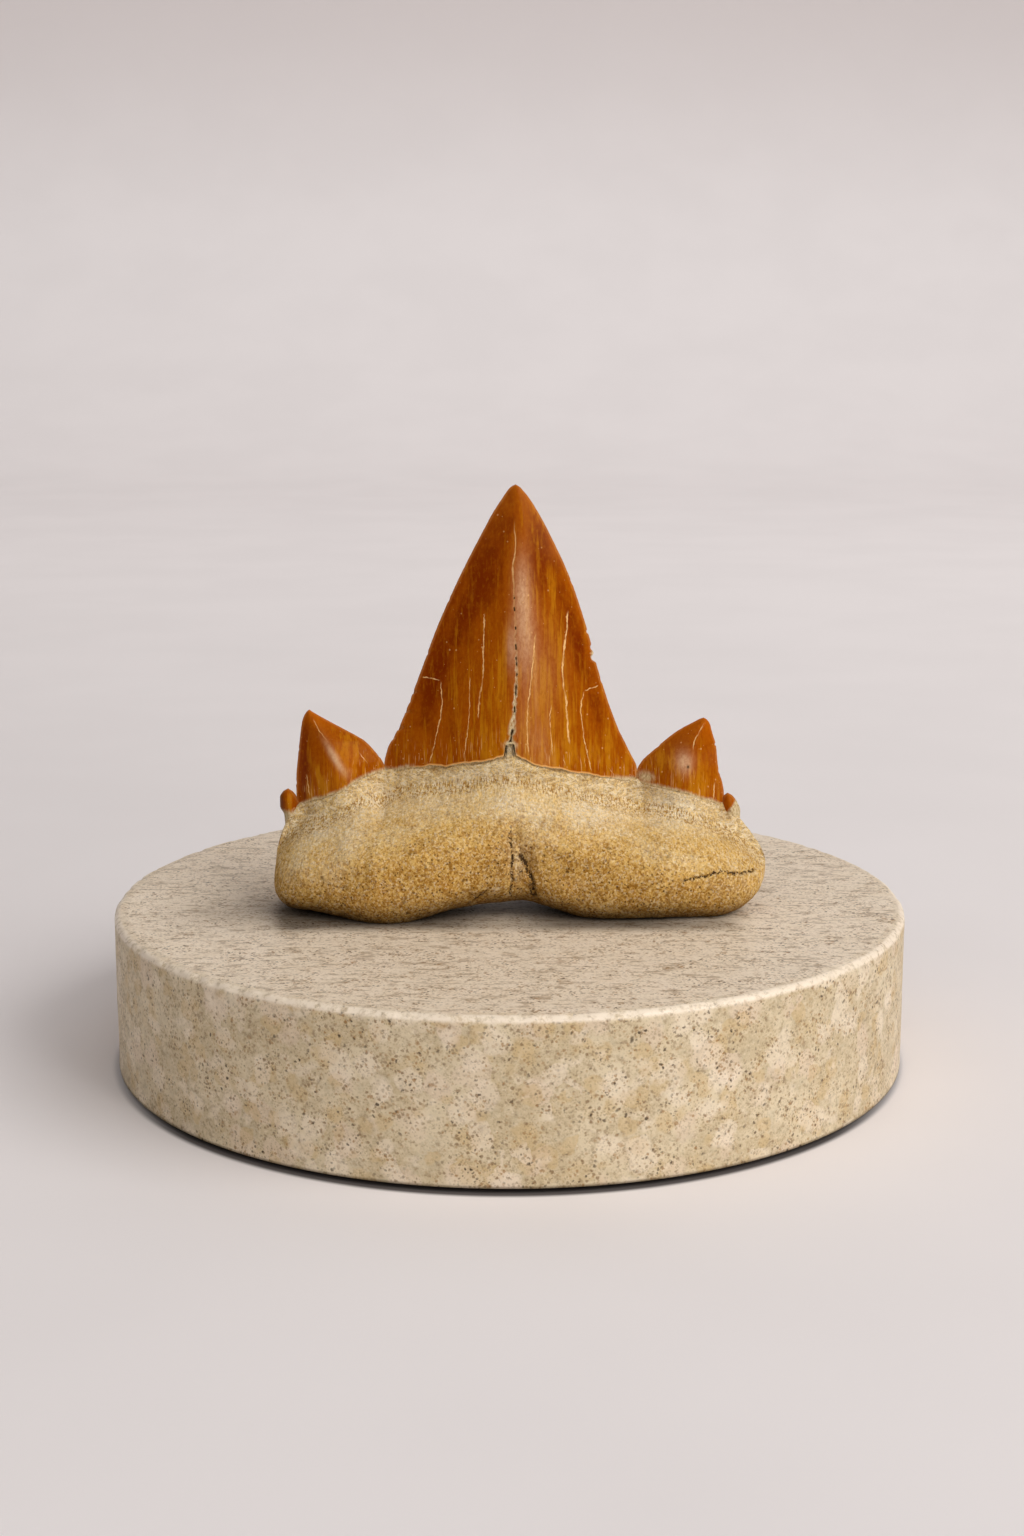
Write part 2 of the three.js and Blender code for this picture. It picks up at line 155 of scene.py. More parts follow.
# The piece's mesh: four-cornered faces between the rings and a fan on each pole.
# attributes are grids of numbers, one for each point, which the materials read.
def addPiece(name, firstPole, grid, lastPole, attributes, material, node):
    rings, columns = grid.shape[:2]
    points = np.concatenate([[firstPole], grid.reshape(-1, 3), [lastPole]]) * millimetre
    numbers = 1 + np.arange(rings * columns).reshape(rings, columns)
    turned = np.roll(numbers, -1, axis=1)
    quads = np.stack([numbers[:-1], turned[:-1], turned[1:], numbers[1:]], -1).reshape(-1, 4)
    pole = np.full(columns, len(points) - 1)
    fans = np.concatenate([
        np.stack([0 * pole, turned[0], numbers[0]], -1),
        np.stack([pole, numbers[-1], turned[-1]], -1),
    ])
    mesh = bpy.data.meshes.new(name)
    mesh.vertices.add(len(points))
    mesh.vertices.foreach_set("co", points.astype(np.float32).ravel())
    corners = np.concatenate([quads.ravel(), fans.ravel()]).astype(np.int32)
    mesh.loops.add(len(corners))
    mesh.loops.foreach_set("vertex_index", corners)
    starts = np.concatenate([4 * np.arange(len(quads)), 4 * len(quads) + 3 * np.arange(len(fans))])
    mesh.polygons.add(len(starts))
    mesh.polygons.foreach_set("loop_start", starts.astype(np.int32))
    mesh.polygons.foreach_set("use_smooth", np.ones(len(starts), bool))
    mesh.update(calc_edges=True)
    for key, values in attributes.items():
        flat = np.concatenate([[values[0].mean()], values.ravel(), [values[-1].mean()]])
        mesh.attributes.new(key, "FLOAT", "POINT").data.foreach_set("value", flat.astype(np.float32))
    mesh.materials.append(material)
    piece = bpy.data.objects.new(name, mesh)
    bpy.context.scene.collection.objects.link(piece)
    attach(piece, "root")
    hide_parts(node)
    print(f"{name}: {2 * len(quads) + len(fans)} triangles")


# Nodes: short calls that lay shader nodes.

# sRGB numbers from 0 to 255 as the linear colours that a shader takes.
def palette(**tones):
    shares = {name: np.array(tone) / 255 for name, tone in tones.items()}
    return {name: (*np.where(s <= 0.04045, s / 12.92, ((s + 0.055) / 1.055) ** 2.4).tolist(), 1.0)
            for name, s in shares.items()}


# A number that a node gives, with the signs of arithmetic.
class Value:
    def __init__(self, nodes, socket):
        self.nodes, self.socket = nodes, socket

    def __add__(self, other):
        return self.nodes.math("ADD", self, other)

    def __sub__(self, other):
        return self.nodes.math("SUBTRACT", self, other)

    def __mul__(self, other):
        return self.nodes.math("MULTIPLY", self, other)

    def __pow__(self, other):
        return self.nodes.math("POWER", self, other)

    def __abs__(self):
        return self.nodes.math("ABSOLUTE", self)

    def most(self, other):
        return self.nodes.math("MAXIMUM", self, other)

    # Carried from one range to another, eased, and held at the ends.
    def step(self, low, high, toLow=0.0, toHigh=1.0):
        made = self.nodes.node("ShaderNodeMapRange", {
            "Value": self, "From Min": low, "From Max": high, "To Min": toLow, "To Max": toHigh,
        }, interpolation_type="SMOOTHSTEP")
        return Value(self.nodes, made.outputs[0])


# A tree of nodes. A socket takes a number, a colour or what another node gives.
class Nodes:
    def __init__(self, tree):
        self.tree = tree

    def put(self, socket, value):
        value = value.socket if isinstance(value, Value) else value
        if isinstance(value, bpy.types.NodeSocket):
            self.tree.links.new(value, socket)
        else:
            socket.default_value = value

    def node(self, kind, inputs=(), **settings):
        made = self.tree.nodes.new(kind)
        for key, value in settings.items():
            setattr(made, key, value)
        for key, value in dict(inputs).items():
            self.put(made.inputs[key], value)
        return made

    def math(self, operation, *values):
        made = self.node("ShaderNodeMath", dict(enumerate(values)), operation=operation)
        return Value(self, made.outputs[0])

    def vector(self, operation, *values):
        return self.node("ShaderNodeVectorMath", dict(enumerate(values)), operation=operation)

    def axes(self, vector):
        return [Value(self, socket) for socket in self.node("ShaderNodeSeparateXYZ", {0: vector}).outputs]


# One material, and the colour painted so far.
class Painter(Nodes):
    def __init__(self, name, shades, first):
        self.material = bpy.data.materials.new(name)
        self.material.use_nodes = True
        super().__init__(self.material.node_tree)
        self.shader = self.tree.nodes["Principled BSDF"]
        self.place = self.node("ShaderNodeTexCoord").outputs["Object"]
        self.shades, self.shade = shades, shades[first]

    def attribute(self, name):
        return Value(self, self.node("ShaderNodeAttribute", attribute_name=name).outputs["Fac"])

    # The place on the piece with each axis measured in sizes of its own, in millimetres.
    def sized(self, sizes, shift, turned=(0, 0, 0)):
        scale = [1 / (size * millimetre) for size in sizes]
        return self.node("ShaderNodeMapping", {
            "Vector": self.place, "Rotation": turned, "Scale": scale, "Location": shift,
        }).outputs[0]

    def noise(self, sizes, detail=2.0, rough=0.55, warp=0.0, shift=(0, 0, 0)):
        made = self.node("ShaderNodeTexNoise", {
            "Vector": self.sized(sizes, shift), "Scale": 1.0, "Detail": detail, "Roughness": rough,
            "Distortion": warp,
        })
        return Value(self, made.outputs["Fac"])

    # Scattered cells: the distance to the nearest one, and its own random number. ragged
    # shifts the places about, in sizes, so that the cells aren't round.
    def grains(self, size, shift=(0, 0, 0), ragged=0.0):
        place = self.sized((size, size, size), shift, (0.5, 0.3, 0.7))
        if ragged:
            sway = self.node("ShaderNodeTexNoise", {"Vector": place, "Scale": 1.3}).outputs["Color"]
            place = self.vector("MULTIPLY_ADD", sway, (ragged, ragged, ragged), place).outputs[0]
        made = self.node("ShaderNodeTexVoronoi", {"Vector": place, "Scale": 1.0})
        split = self.node("ShaderNodeSeparateColor", {0: made.outputs["Color"]})
        return Value(self, made.outputs["Distance"]), Value(self, split.outputs[0])

    def blend(self, share, under, over):
        return self.node("ShaderNodeMix", {0: share, 6: under, 7: over}, data_type="RGBA").outputs[2]

    # Lays a colour over what is painted so far, by the product of its shares.
    def over(self, tone, share, *more):
        for factor in more:
            share = share * factor
        self.shade = self.blend(share, self.shade, self.shades[tone] if isinstance(tone, str) else tone)

    # The colour of a number, from [position, tone] stops.
    def ramp(self, value, *stops):
        made = self.node("ShaderNodeValToRGB", {0: value})
        elements = made.color_ramp.elements
        while len(elements) < len(stops):
            elements.new(0.5)
        for element, (position, tone) in zip(elements, stops):
            element.position = position
            element.color = self.shades[tone]
        return made.outputs[0]

    def bump(self, height, distance, strength, under=None):
        made = self.node("ShaderNodeBump", {
            "Strength": strength, "Distance": distance * millimetre, "Height": height,
        })
        if under is not None:
            self.put(made.inputs["Normal"], under)
        return made.outputs[0]

    # x and the height above the stone, in millimetres.
    def flatPlace(self):
        x, _, z = self.axes(self.place)
        return x * (1 / millimetre), z * (1 / millimetre) - slab["thickness"]

    # A thin line: the sideways distance from a curve through [along, across] stations,
    # eased from 1 on the curve to 0 at its width, and faded out at both ends.
    def crack(self, along, across, stations, width, fade):
        places, values = np.array(sorted(stations), float).T
        start, end = places[0], places[-1]
        low, high = values.min() - 0.5, values.max() + 0.5
        share = self.node("ShaderNodeMapRange", {"Value": along, "From Min": start, "From Max": end})
        curve = self.node("ShaderNodeFloatCurve", {"Value": share.outputs[0]})
        points = curve.mapping.curves[0].points
        while len(points) < len(places):
            points.new(0.5, 0.5)
        for point, place, value in zip(points, places, values):
            point.location = ((place - start) / (end - start), (value - low) / (high - low))
            point.handle_type = "VECTOR"
        curve.mapping.update()
        away = abs(across - (Value(self, curve.outputs[0]) * (high - low) + low))
        ends = along.step(start - 0.05, start + fade) * along.step(end + 0.05, end - fade)
        return away.step(width, width * 0.25) * ends

    # The strongest of many lines, each a half width and its [x, height] stations: some
    # upright, some level. waver carries them off their course.
    def cracks(self, waver, upright, level, levelFade):
        x, height = self.flatPlace()
        lines = [self.crack(height, x + waver, [station[::-1] for station in path], half, 0.8)
                 for half, path in upright]
        lines += [self.crack(x, height + waver, path, half, levelFade) for half, path in level]
        return functools.reduce(Value.most, lines)

    def finish(self, inputs):
        for key, value in {"Base Color": self.shade, **inputs}.items():
            self.put(self.shader.inputs[key], value)
        return self.material


# The cusps: a main cusp, two cusplets and two end nubs, all stacks of lens sections.

slab = {
    "radius": 50, "thickness": 20, "topRound": 0.9, "footRound": 0.6, "footInset": 2.4,
    "columns": 800, "wallRings": 54, "topRings": 50, "footRings": 8, "roundRings": 8,
    "footSteps": 6, "wear": 0.2, "waveDepth": 0.05, "fineDepth": 0.03, "pitDepth": 0.14, "topDepth": 0.02,
    # painted contact shadow round the tooth's feet
    "contactShade": {"x": -0.3, "y": -8.2, "halfX": 25.5, "halfY": 5.8, "reach": 5.6, "fall": 1.6},
}

bladePlane = -1.8     # the plane through all the cutting edges
enamelLip = (0.3, 0.04)  # how far the enamel stands proud of the root: in the middle, outside
crowding = 0.5        # columns crowd towards the ridge and the cutting edges
rowCrowding = 1.1     # rows crowd towards the tip
thinning = 0.9        # a cusp's faces thin out with this power of its width
ridgeRound = (0.1, 0.62)  # the ridge is blunt over this share of the half width: base, tip
poleDrop = 1.7        # how far the closing pole lies under a cusp's lowest line
lipRings = ((0.35, 0.8, 1.2), (0.84, 0.97, 0.12), (0.97, 0.995, 0.03))  # depth, width, drop under the edge

halvings = 20         # steps in which a column finds its place on the enamel's lower line
allTheWay = 1e6       # the half height of a zone that runs all the way up

# Stations of the edges are [height above the stone, x]; those of the enamel's lower
# lines are [x, height]. Zones of colour are rows of amount, x, half width, height, half
# height; lip is how much of the pale lower rim, painted as a highlight, the enamel has.
mainCusp = {
    "name": "main_cusp",
    "tip": (0.75, 52.45),
    "left": [[12, -16.3], [17.8, -15.75], [19.3, -15.42], [22.5, -13.76], [28.7, -11.33], [34.8, -9.05],
             [40.8, -6.36], [46.7, -3.32], [49.2, -1.95], [50.7, -0.95], [51.6, -0.36], [52.2, 0.2],
             [52.45, 0.75]],
    "right": [[12, 16.5], [17.0, 16.04], [19.3, 15.0], [22.5, 13.46], [28.8, 11.27], [34.8, 9.59],
              [40.8, 7.57], [46.7, 4.81], [49.2, 3.45], [50.7, 2.5], [51.6, 1.78], [52.2, 1.2],
              [52.45, 0.75]],
    "baseHeight": 17, "frontBase": 6.0, "backBase": 3.0,
    "frontPower": (1.5, 1.22), "backPower": 2.1, "ridgeShift": 0.75, "tipLean": 1.3,
    "frontLine": [[-15.8, 16.7], [-15.3, 16.65], [-12.46, 17.3], [-9.91, 17.85], [-7.39, 18.09],
                  [-4.89, 18.53], [-2.41, 19.05], [-1.18, 19.36], [-0.76, 19.5], [-0.62, 20.2],
                  [-0.52, 20.95], [0.1, 21.1], [0.58, 20.95], [0.68, 20.3], [0.82, 19.6], [1.3, 19.45],
                  [2.52, 18.94], [3.75, 18.38], [6.24, 17.72], [8.75, 17.14], [11.29, 16.45],
                  [13.85, 15.8], [15.9, 15.4]],
    "backLine": [[-15.8, 15.6], [-14, 14.4], [-8, 13.9], [0, 12.6], [8, 13.7], [14, 14.2], [15.9, 15.4]],
    "columns": (230, 90), "rows": 260, "lineWobble": 0.13,
    # Breaks in the cutting edges: height, how far in, and half its height.
    "leftNicks": [(26.75, 0.34, 0.3), (25.6, 0.1, 0.5), (24.3, 0.4, 0.28), (22.2, 0.5, 0.42),
                  (20.9, 0.16, 0.5), (31.6, 0.1, 0.35), (38.2, 0.07, 0.4)],
    "rightNicks": [(31.0, 0.42, 0.62), (32.3, 0.2, 0.5), (34.3, 0.16, 0.35), (28.2, 0.08, 0.5),
                   (40.5, 0.05, 0.5)],
    "lip": 0.9,
    "zones": {
        "deep": [(0.45, -1.6, 1.6, 41, 6), (1.0, 3.7, 2.0, 44.5, 6.5), (0.45, -9.0, 1.7, 29.5, 4),
                 (0.35, -10.8, 2.2, 24, 4), (0.4, 11.0, 1.8, 22.5, 3.5)],
        "gold": [(0.5, -3.0, 3.4, 23, 8), (0.4, -1.2, 1.1, 30, 7), (0.3, 4.6, 1.2, 32, 6),
                 (0.65, 3.6, 3.4, 25, 8), (0.55, 12.5, 2.5, 19.5, 3), (0.25, -6.5, 0.9, 29, 6),
                 (0.5, 8.3, 3.5, 22.5, 5.5), (0.4, 3.0, 1.8, 41, 8)],
        "glow": [(0.12, 3.0, 1.6, 38, 7), (0.1, 2.4, 2.4, 26, 6)],
        "bloom": [(0.55, 1.55, 0.9, 39.6, 3.8), (0.44, 1.9, 1.2, 34.0, 4.5), (0.08, 4.0, 2.2, 29.5, 5),
                  (0.09, 1.9, 1.3, 23.0, 4), (0.4, 0.15, 0.5, 33.0, 2.4)],
    },
}

cuspletShape = {
    "baseHeight": 15, "frontBase": 3.1, "backBase": 2.2, "frontPower": (1.55, 1.2), "backPower": 2.0,
    "tipLean": 0.3, "columns": (130, 60), "rows": 110, "lineWobble": 0.1, "lip": 0,
}
leftCusplet = {
    "name": "left_cusplet",
    "tip": (-25.1, 24.45),
    "left": [[9, -26.5], [12.5, -26.85], [14.8, -26.94], [18.6, -26.62], [21.2, -26.32], [23.1, -26.0],
             [24.2, -25.45], [24.45, -25.1]],
    "right": [[9, -14.8], [15, -15.2], [17.2, -15.7], [18.0, -16.06], [19.3, -17.05], [20.6, -18.35],
              [21.85, -20.54], [23.1, -22.85], [24.2, -24.75], [24.45, -25.1]],
    "ridgeShift": 0, **cuspletShape,
    "frontLine": [[-26.9, 11.9], [-25.1, 12.95], [-23.1, 13.7], [-21.2, 14.55], [-19.3, 15.6],
                  [-17.5, 16.45], [-15.7, 16.7]],
    "backLine": [[-26.9, 11.2], [-24.5, 10.9], [-21, 11.6], [-17.5, 13.6], [-15.7, 15.4]],
    "leftNicks": [(15.2, 0.1, 0.4), (19.4, 0.06, 0.3)],
    "rightNicks": [(18.6, 0.08, 0.3), (21.0, 0.06, 0.3)],
    "zones": {
        "deep": [(1.1, -25.6, 0.9, 18.0, 6), (0.12, -19.4, 1.5, 0, allTheWay), (0.3, -20.8, 1.6, 20.6, 1.2)],
        "gold": [(0.75, -20.4, 2.2, 19.2, 2.4)],
        "glow": [(0.45, -20.5, 2.0, 18.0, 2.0)],
    },
}

rightCusplet = {
    "name": "right_cusplet",
    "tip": (24.35, 23.42),
    "left": [[9, 15.1], [15, 15.5], [17.0, 16.1], [18.07, 16.75], [19.35, 18.15], [20.6, 19.55],
             [21.9, 21.3], [22.9, 23.15], [23.28, 23.88], [23.42, 24.35]],
    "right": [[9, 27.2], [13.6, 27.06], [14.9, 26.91], [16.15, 26.51], [17.4, 26.23], [20.0, 25.93],
              [21.3, 25.52], [22.6, 25.15], [23.2, 24.75], [23.42, 24.35]],
    "ridgeShift": 0.7, **cuspletShape,
    "frontLine": [[16.0, 15.3], [18.2, 15.0], [20.0, 14.8], [22.5, 14.2], [24.5, 13.4], [25.85, 12.65],
                  [27.1, 11.9]],
    "backLine": [[16.0, 15.2], [18, 13.6], [21.5, 11.8], [25, 11.2], [27.1, 11.4]],
    "leftNicks": [(19.8, 0.06, 0.3)],
    "rightNicks": [(20.05, 0.14, 0.22), (16.6, 0.06, 0.4)],
    "zones": {
        "deep": [(0.4, 18.6, 1.8, 17.4, 1.8), (0.3, 23.4, 1.0, 0, allTheWay)],
        "gold": [(0.9, 19.4, 1.8, 18.2, 1.6), (1.0, 24.4, 1.7, 16.4, 3.0)],
        "glow": [(0.12, 25.0, 1.0, 0, allTheWay)],
        "bloom": [(0.75, 21.8, 0.95, 18.2, 1.2)],
        "pale": [(0.9, 17.1, 1.3, 16.1, 0.8)],
        "pit": [(1, 22.26, 0.17, 17.68, 0.2)],
    },
}

nubShape = {
    "backPower": 2, "ridgeShift": 0, "tipLean": 0, "columns": (48, 32), "rows": 70, "lineWobble": 0,
    "leftNicks": [], "rightNicks": [], "lip": 0.9,
}
leftNub = {
    "name": "left_nub",
    "tip": (-27.95, 14.4),
    "left": [[8.0, -28.3], [9.6, -28.4], [11.0, -28.5], [12.1, -29.0], [13.2, -29.0], [14.0, -28.6],
             [14.4, -27.95]],
    "right": [[8.0, -26.2], [11.0, -26.6], [12.4, -26.5], [13.3, -26.85], [14.0, -27.35], [14.4, -27.95]],
    "baseHeight": 12, "frontBase": 1.0, "backBase": 0.9, "frontPower": (2, 2), **nubShape, "zones": {},
    "frontLine": [[-28.5, 8.2], [-26.5, 8.2]],
    "backLine": [[-28.5, 8.2], [-26.5, 8.2]],
}

rightNub = {
    "name": "right_nub",
    "tip": (27.5, 13.85),
    "left": [[8.0, 26.6], [12.5, 26.7], [13.4, 26.95], [13.85, 27.5]],
    "right": [[8.0, 29.6], [10.6, 29.15], [11.6, 29.15], [12.6, 28.75], [13.5, 28.1], [13.85, 27.5]],
    "baseHeight": 11, "frontBase": 1.2, "backBase": 1.1, "frontPower": (2, 1.7), **nubShape,
    "zones": {"deep": [(0.3, 27.0, 0.4, 0, allTheWay)]},
    "frontLine": [[26.7, 8.6], [29.6, 8.6]],
    "backLine": [[26.7, 8.6], [29.6, 8.6]],
}

cusps = [mainCusp, leftCusplet, rightCusplet, leftNub, rightNub]


# The lens sections of one cusp. side is -1 on the left cutting edge, 0 on the ridge and
# 1 on the right edge. A face stands off the blade plane by its base thickness, times a
# power of the width that is left, times one less a power of the side, which is rounded
# at the ridge: the root of its square and the bluntness squared.
class CuspForm:
    def __init__(self, cusp):
        self.cusp = cusp
        self.left, self.right = curveThrough(cusp["left"]), curveThrough(cusp["right"])
        self.frontLine, self.backLine = curveThrough(cusp["frontLine"]), curveThrough(cusp["backLine"])
        self.baseWidth = self.right(cusp["baseHeight"]) - self.left(cusp["baseHeight"])

    # The width is the mean of five places, over a reach that shrinks towards the tip.
    def widthShare(self, height):
        reach = np.clip(0.4 * (self.cusp["tip"][1] - height), 0, 1.6)
        width = sum(self.right(height + reach * step / 2) - self.left(height + reach * step / 2)
                    for step in range(-2, 3)) / 5
        return np.clip(width / self.baseWidth, 0, 1.05)

    # Off the middle by the ridge's shift times the square root of the width share.
    def ridge(self, height):
        middle = (self.left(height) + self.right(height)) / 2
        return middle + self.cusp["ridgeShift"] * np.sqrt(self.widthShare(height))

    # From the ridge towards one edge, by the size of side; the next function undoes it.
    def x(self, height, side):
        edge = np.where(side < 0, self.left(height), self.right(height))
        return mix(self.ridge(height), edge, np.abs(side))

    def side(self, height, x):
        middle = self.ridge(height)
        toLeft = np.maximum(middle - self.left(height), 1e-9)
        toRight = np.maximum(self.right(height) - middle, 1e-9)
        return np.where(x < middle, (x - middle) / toLeft, (x - middle) / toRight)

    def front(self, height, side):
        share = self.widthShare(height)
        atBase, atTip = self.cusp["frontPower"]
        power = mix(atTip, atBase, np.clip(share, 0, 1))
        blunt = mix(*ridgeRound, easedStep(0.55, 0.0, share))
        least, most = blunt ** power, (1 + blunt ** 2) ** (power / 2)
        fall = ((side ** 2 + blunt ** 2) ** (power / 2) - least) / (most - least)
        return self.cusp["frontBase"] * share ** thinning * (1 - fall)

    def back(self, height, side):
        face = self.cusp["backBase"] * self.widthShare(height) ** thinning
        return face * (1 - np.abs(side) ** self.cusp["backPower"])

    # The blade leans back with the square of the share of the way up.
    def lean(self, height):
        low, high = self.cusp["baseHeight"], self.cusp["tip"][1]
        return self.cusp["tipLean"] * np.clip((height - low) / (high - low), 0, 1) ** 2


forms = {cusp["name"]: CuspForm(cusp) for cusp in cusps}

# The long crack down the main cusp's ridge, as [height, x], and its width and depth there.
ridgeCrack = {
    "path": [[21.2, 0.1], [23.4, 0.4], [25.9, 0.62], [28.15, 0.86], [30.1, 0.82], [33.4, 0.7], [37.1, 0.66],
             [39.5, 0.46], [42.5, 0.42], [44.4, 0.72], [45.9, 0.74], [48.0, 0.56]],
    "width": [[20.6, 0.62], [21.2, 0.58], [21.7, 0.34], [24, 0.32], [28, 0.2], [33, 0.16], [39, 0.12],
              [48, 0.05]],
    "depth": [[21, 0.12], [28, 0.09], [36, 0.05], [48, 0.02]],
    "fill": [[21, 0.95], [27, 0.85], [30, 0.5], [34, 0.25], [38, 0.25], [40.5, 0.5], [44, 0.75], [48, 0.4]],
    "pitFrom": 41.5,
}


# Where each ring of a cusp lies: two parameters, round the section and up from the
# enamel's lower line to the tip. Each column meets the line where halving steps towards
# the line's height over its own foot settle. Returns the points and the paint's numbers.
def cuspGrid(cusp):
    form = forms[cusp["name"]]
    frontColumns, backColumns = cusp["columns"]
    even = np.concatenate([
        np.linspace(-1, 1, frontColumns, endpoint=False),
        np.linspace(1, -1, backColumns, endpoint=False),
    ])
    side = even - crowding * np.sin(2 * np.pi * even) / (2 * np.pi)
    isFront = np.arange(len(side)) <= frontColumns
    line = np.full(len(side), float(cusp["baseHeight"]))
    for _ in range(halvings):
        footX = form.x(line, side)
        line = (line + np.where(isFront, form.frontLine(footX), form.backLine(footX))) / 2
    wobblePlace = np.stack([footX, np.where(isFront, 0, 50.0), np.zeros_like(footX)], -1)
    wobble = lumpSum(wobblePlace, (1, 1.6, 11), (0.6, 0.5, 12))
    line = line + cusp["lineWobble"] * wobble * (1 - np.abs(side) ** 8)
    onEdge = np.isin(np.arange(len(side)), (0, frontColumns))
    line = np.where(onEdge, np.maximum(form.frontLine(footX), form.backLine(footX)), line)
    up = 1 - (1 - np.arange(cusp["rows"]) / cusp["rows"]) ** rowCrowding
    rise = np.concatenate([np.zeros(len(lipRings)), up])[:, None]
    inset = np.array(list(lipRings) + [(1, 1, 0)] * cusp["rows"])
    depthShare, widthShare, drop = (inset[:, k][:, None] for k in range(3))
    height = mix(line[None, :], cusp["tip"][1], rise)
    x = form.x(height, side * widthShare)
    nick = np.zeros_like(height)
    for sign, key in ((-1, "leftNicks"), (1, "rightNicks")):
        for at, far, half in cusp[key]:
            step = easedStep(-half, -0.3 * half, height - at) * easedStep(half, 0.1 * half, height - at)
            nick -= sign * far * step * (np.sign(side) == sign)
    edgeNearness = np.abs(side) ** 20
    rough = lumps(np.stack([x, 0 * x, height], -1), 0.55, 13) * 0.035 * (cusp["lineWobble"] > 0)
    x = x + (nick - np.sign(side) * np.abs(rough)) * edgeNearness
    depth = np.where(isFront, form.front(height, side), form.back(height, side))
    inward = 1 - np.abs(side) ** 4
    place = np.stack([x, np.where(isFront, 0, 40.0) + 0 * x, height], -1)
    relief = lumpSum(place, (0.07, (3.2, 3.2, 7.5), 21), (0.035, (1.1, 1.1, 5.0), 22))
    nearBase = easedStep(9, 0, height - line)
    relief = relief + nearBase * 0.03 * lumps(place, (0.45, 0.45, 4.0), 23)
    depth = depth + relief * inward * np.clip(depth / 2.5, 0, 1)
    paint = {"rise": height - line - drop + 0 * x, "isFront": isFront + 0 * x}
    halfWidth = (form.right(height) - form.left(height)) / 2
    paint["edge"] = (1 - np.abs(side)) * halfWidth
    if cusp is mainCusp:
        cut, paint["fill"], paint["pit"] = ridgeCrackCut(x, height, isFront)
        depth = depth - cut
    y = bladePlane + form.lean(height) + np.where(isFront, -1, 1) * depth * depthShare
    grid = np.stack([x, y, slab["thickness"] + height - drop], -1)
    firstPole = (form.x(cusp["baseHeight"], 0.0), bladePlane, slab["thickness"] + line.min() - poleDrop)
    lastPole = (cusp["tip"][0], bladePlane + cusp["tipLean"], slab["thickness"] + cusp["tip"][1])
    return firstPole, grid, lastPole, paint, x, height, side


# The ridge crack: a furrow with bell-shaped walls along its path, with a row of short
# pits in it. Returns the cut, how much pale matter fills it and how dark its pits are.
def ridgeCrackCut(x, height, isFront):
    path, width, depth, share = (curveThrough(ridgeCrack[key]) for key in ("path", "width", "depth", "fill"))
    along = np.stack([0 * x, 0 * x, height], -1)
    sway = lumpSum(along, (0.07, 0.9, 31), (0.04, 0.35, 32))
    spread = width(height) * (1 + 0.4 * lumps(along, 0.45, 33))
    away = (x - path(height) - sway) / spread
    faded = easedStep(48.4, 46.5, height) * isFront
    furrow = np.exp(-away ** 2) * faded
    chance = lumpSum(along, (1, 0.4, 34), (0.5, 0.22, 35))
    opened = easedStep(0.22, 0.42, chance) * easedStep(ridgeCrack["pitFrom"], 38.5, height) * isFront
    pit = np.exp(-(away * spread / np.maximum(0.4 * spread, 0.1)) ** 4) * opened
    cut = depth(height) * furrow * (0.4 + 1.6 * pit)
    fill = np.exp(-away ** 4) * faded * share(height)
    return cut, fill, pit


print("forms ready")


# Enamel.

enamelShades = palette(
    amber=(156, 76, 5), deep=(118, 42, 3), gold=(182, 112, 14), orange=(186, 92, 8), cream=(236, 188, 124),
    hollow=(50, 32, 18), chalk=(206, 184, 142), chalkLow=(158, 130, 90), chalkHigh=(228, 212, 178),
    bloom=(218, 176, 136), lip=(238, 178, 104),
)

# Cracks in the enamel, each a half width and its [x, height] stations; those that run
# across are given apart.
mainCracks = [
    (0.11, [[-3.07, 36.95], [-3.14, 35.47], [-3.19, 33.74], [-3.26, 32.75], [-3.19, 31.27], [-3.31, 29.03],
           [-3.51, 27.53], [-3.76, 26.28], [-3.89, 24.04]]),
    (0.075, [[-4.91, 29.19], [-4.98, 24.96], [-5.2, 22.47], [-5.53, 20.24], [-5.78, 18.97]]),
    (0.085, [[-8.61, 28.42], [-8.48, 26.94], [-8.35, 25.46], [-8.61, 23.7], [-8.99, 22.31], [-9.37, 20.43],
           [-10.02, 18.12]]),
    (0.14, [[7.25, 37.13], [7.08, 36.27], [7.15, 34.78], [6.83, 33.31], [6.63, 31.33], [6.53, 29.59],
           [6.71, 27.59], [7.02, 26.07], [7.1, 24.32], [7.29, 22.07], [7.49, 20.7]]),
    (0.1, [[3.14, 34.52], [3.02, 32.54], [2.78, 30.06], [2.53, 27.59], [2.28, 25.86], [2.16, 23.38],
           [2.24, 21.39], [2.42, 19.65]]),
    (0.095, [[9.33, 27.14], [8.97, 25.92], [8.85, 24.68], [9.03, 22.92], [9.24, 21.42], [9.68, 19.41],
           [10.2, 17.13]]),
    (0.07, [[5.19, 25.82], [4.99, 24.47], [5.07, 22.47], [5.25, 20.24], [5.38, 19.49]]),
    (0.06, [[6.6, 19.65], [6.86, 18.15]]),
    (0.09, [[12.4, 17.55], [13.32, 16.18]]),
]
acrossCracks = [
    (0.09, [[-10.87, 28.6], [-9.78, 28.62], [-8.61, 28.42]]),
    (0.09, [[11.09, 27.61], [10.19, 27.32], [9.33, 27.14]]),
]
cuspletCracks = [
    (0.1, [[-24.61, 23.46], [-23.81, 22.09], [-23.03, 21.17], [-22.52, 20.59]]),
    (0.09, [[-18.98, 19.53], [-17.74, 17.77]]),
    (0.09, [[-25.49, 16.55], [-25.07, 13.54]]),
    (0.1, [[24.47, 22.97], [23.68, 21.84], [23.02, 20.69], [22.89, 19.61]]),
    (0.06, [[20.26, 17.56], [20.02, 15.82]]),
    (0.06, [[21.88, 17.21], [21.38, 15.88]]),
    (0.09, [[25.76, 15.54], [25.58, 13.06]]),
]
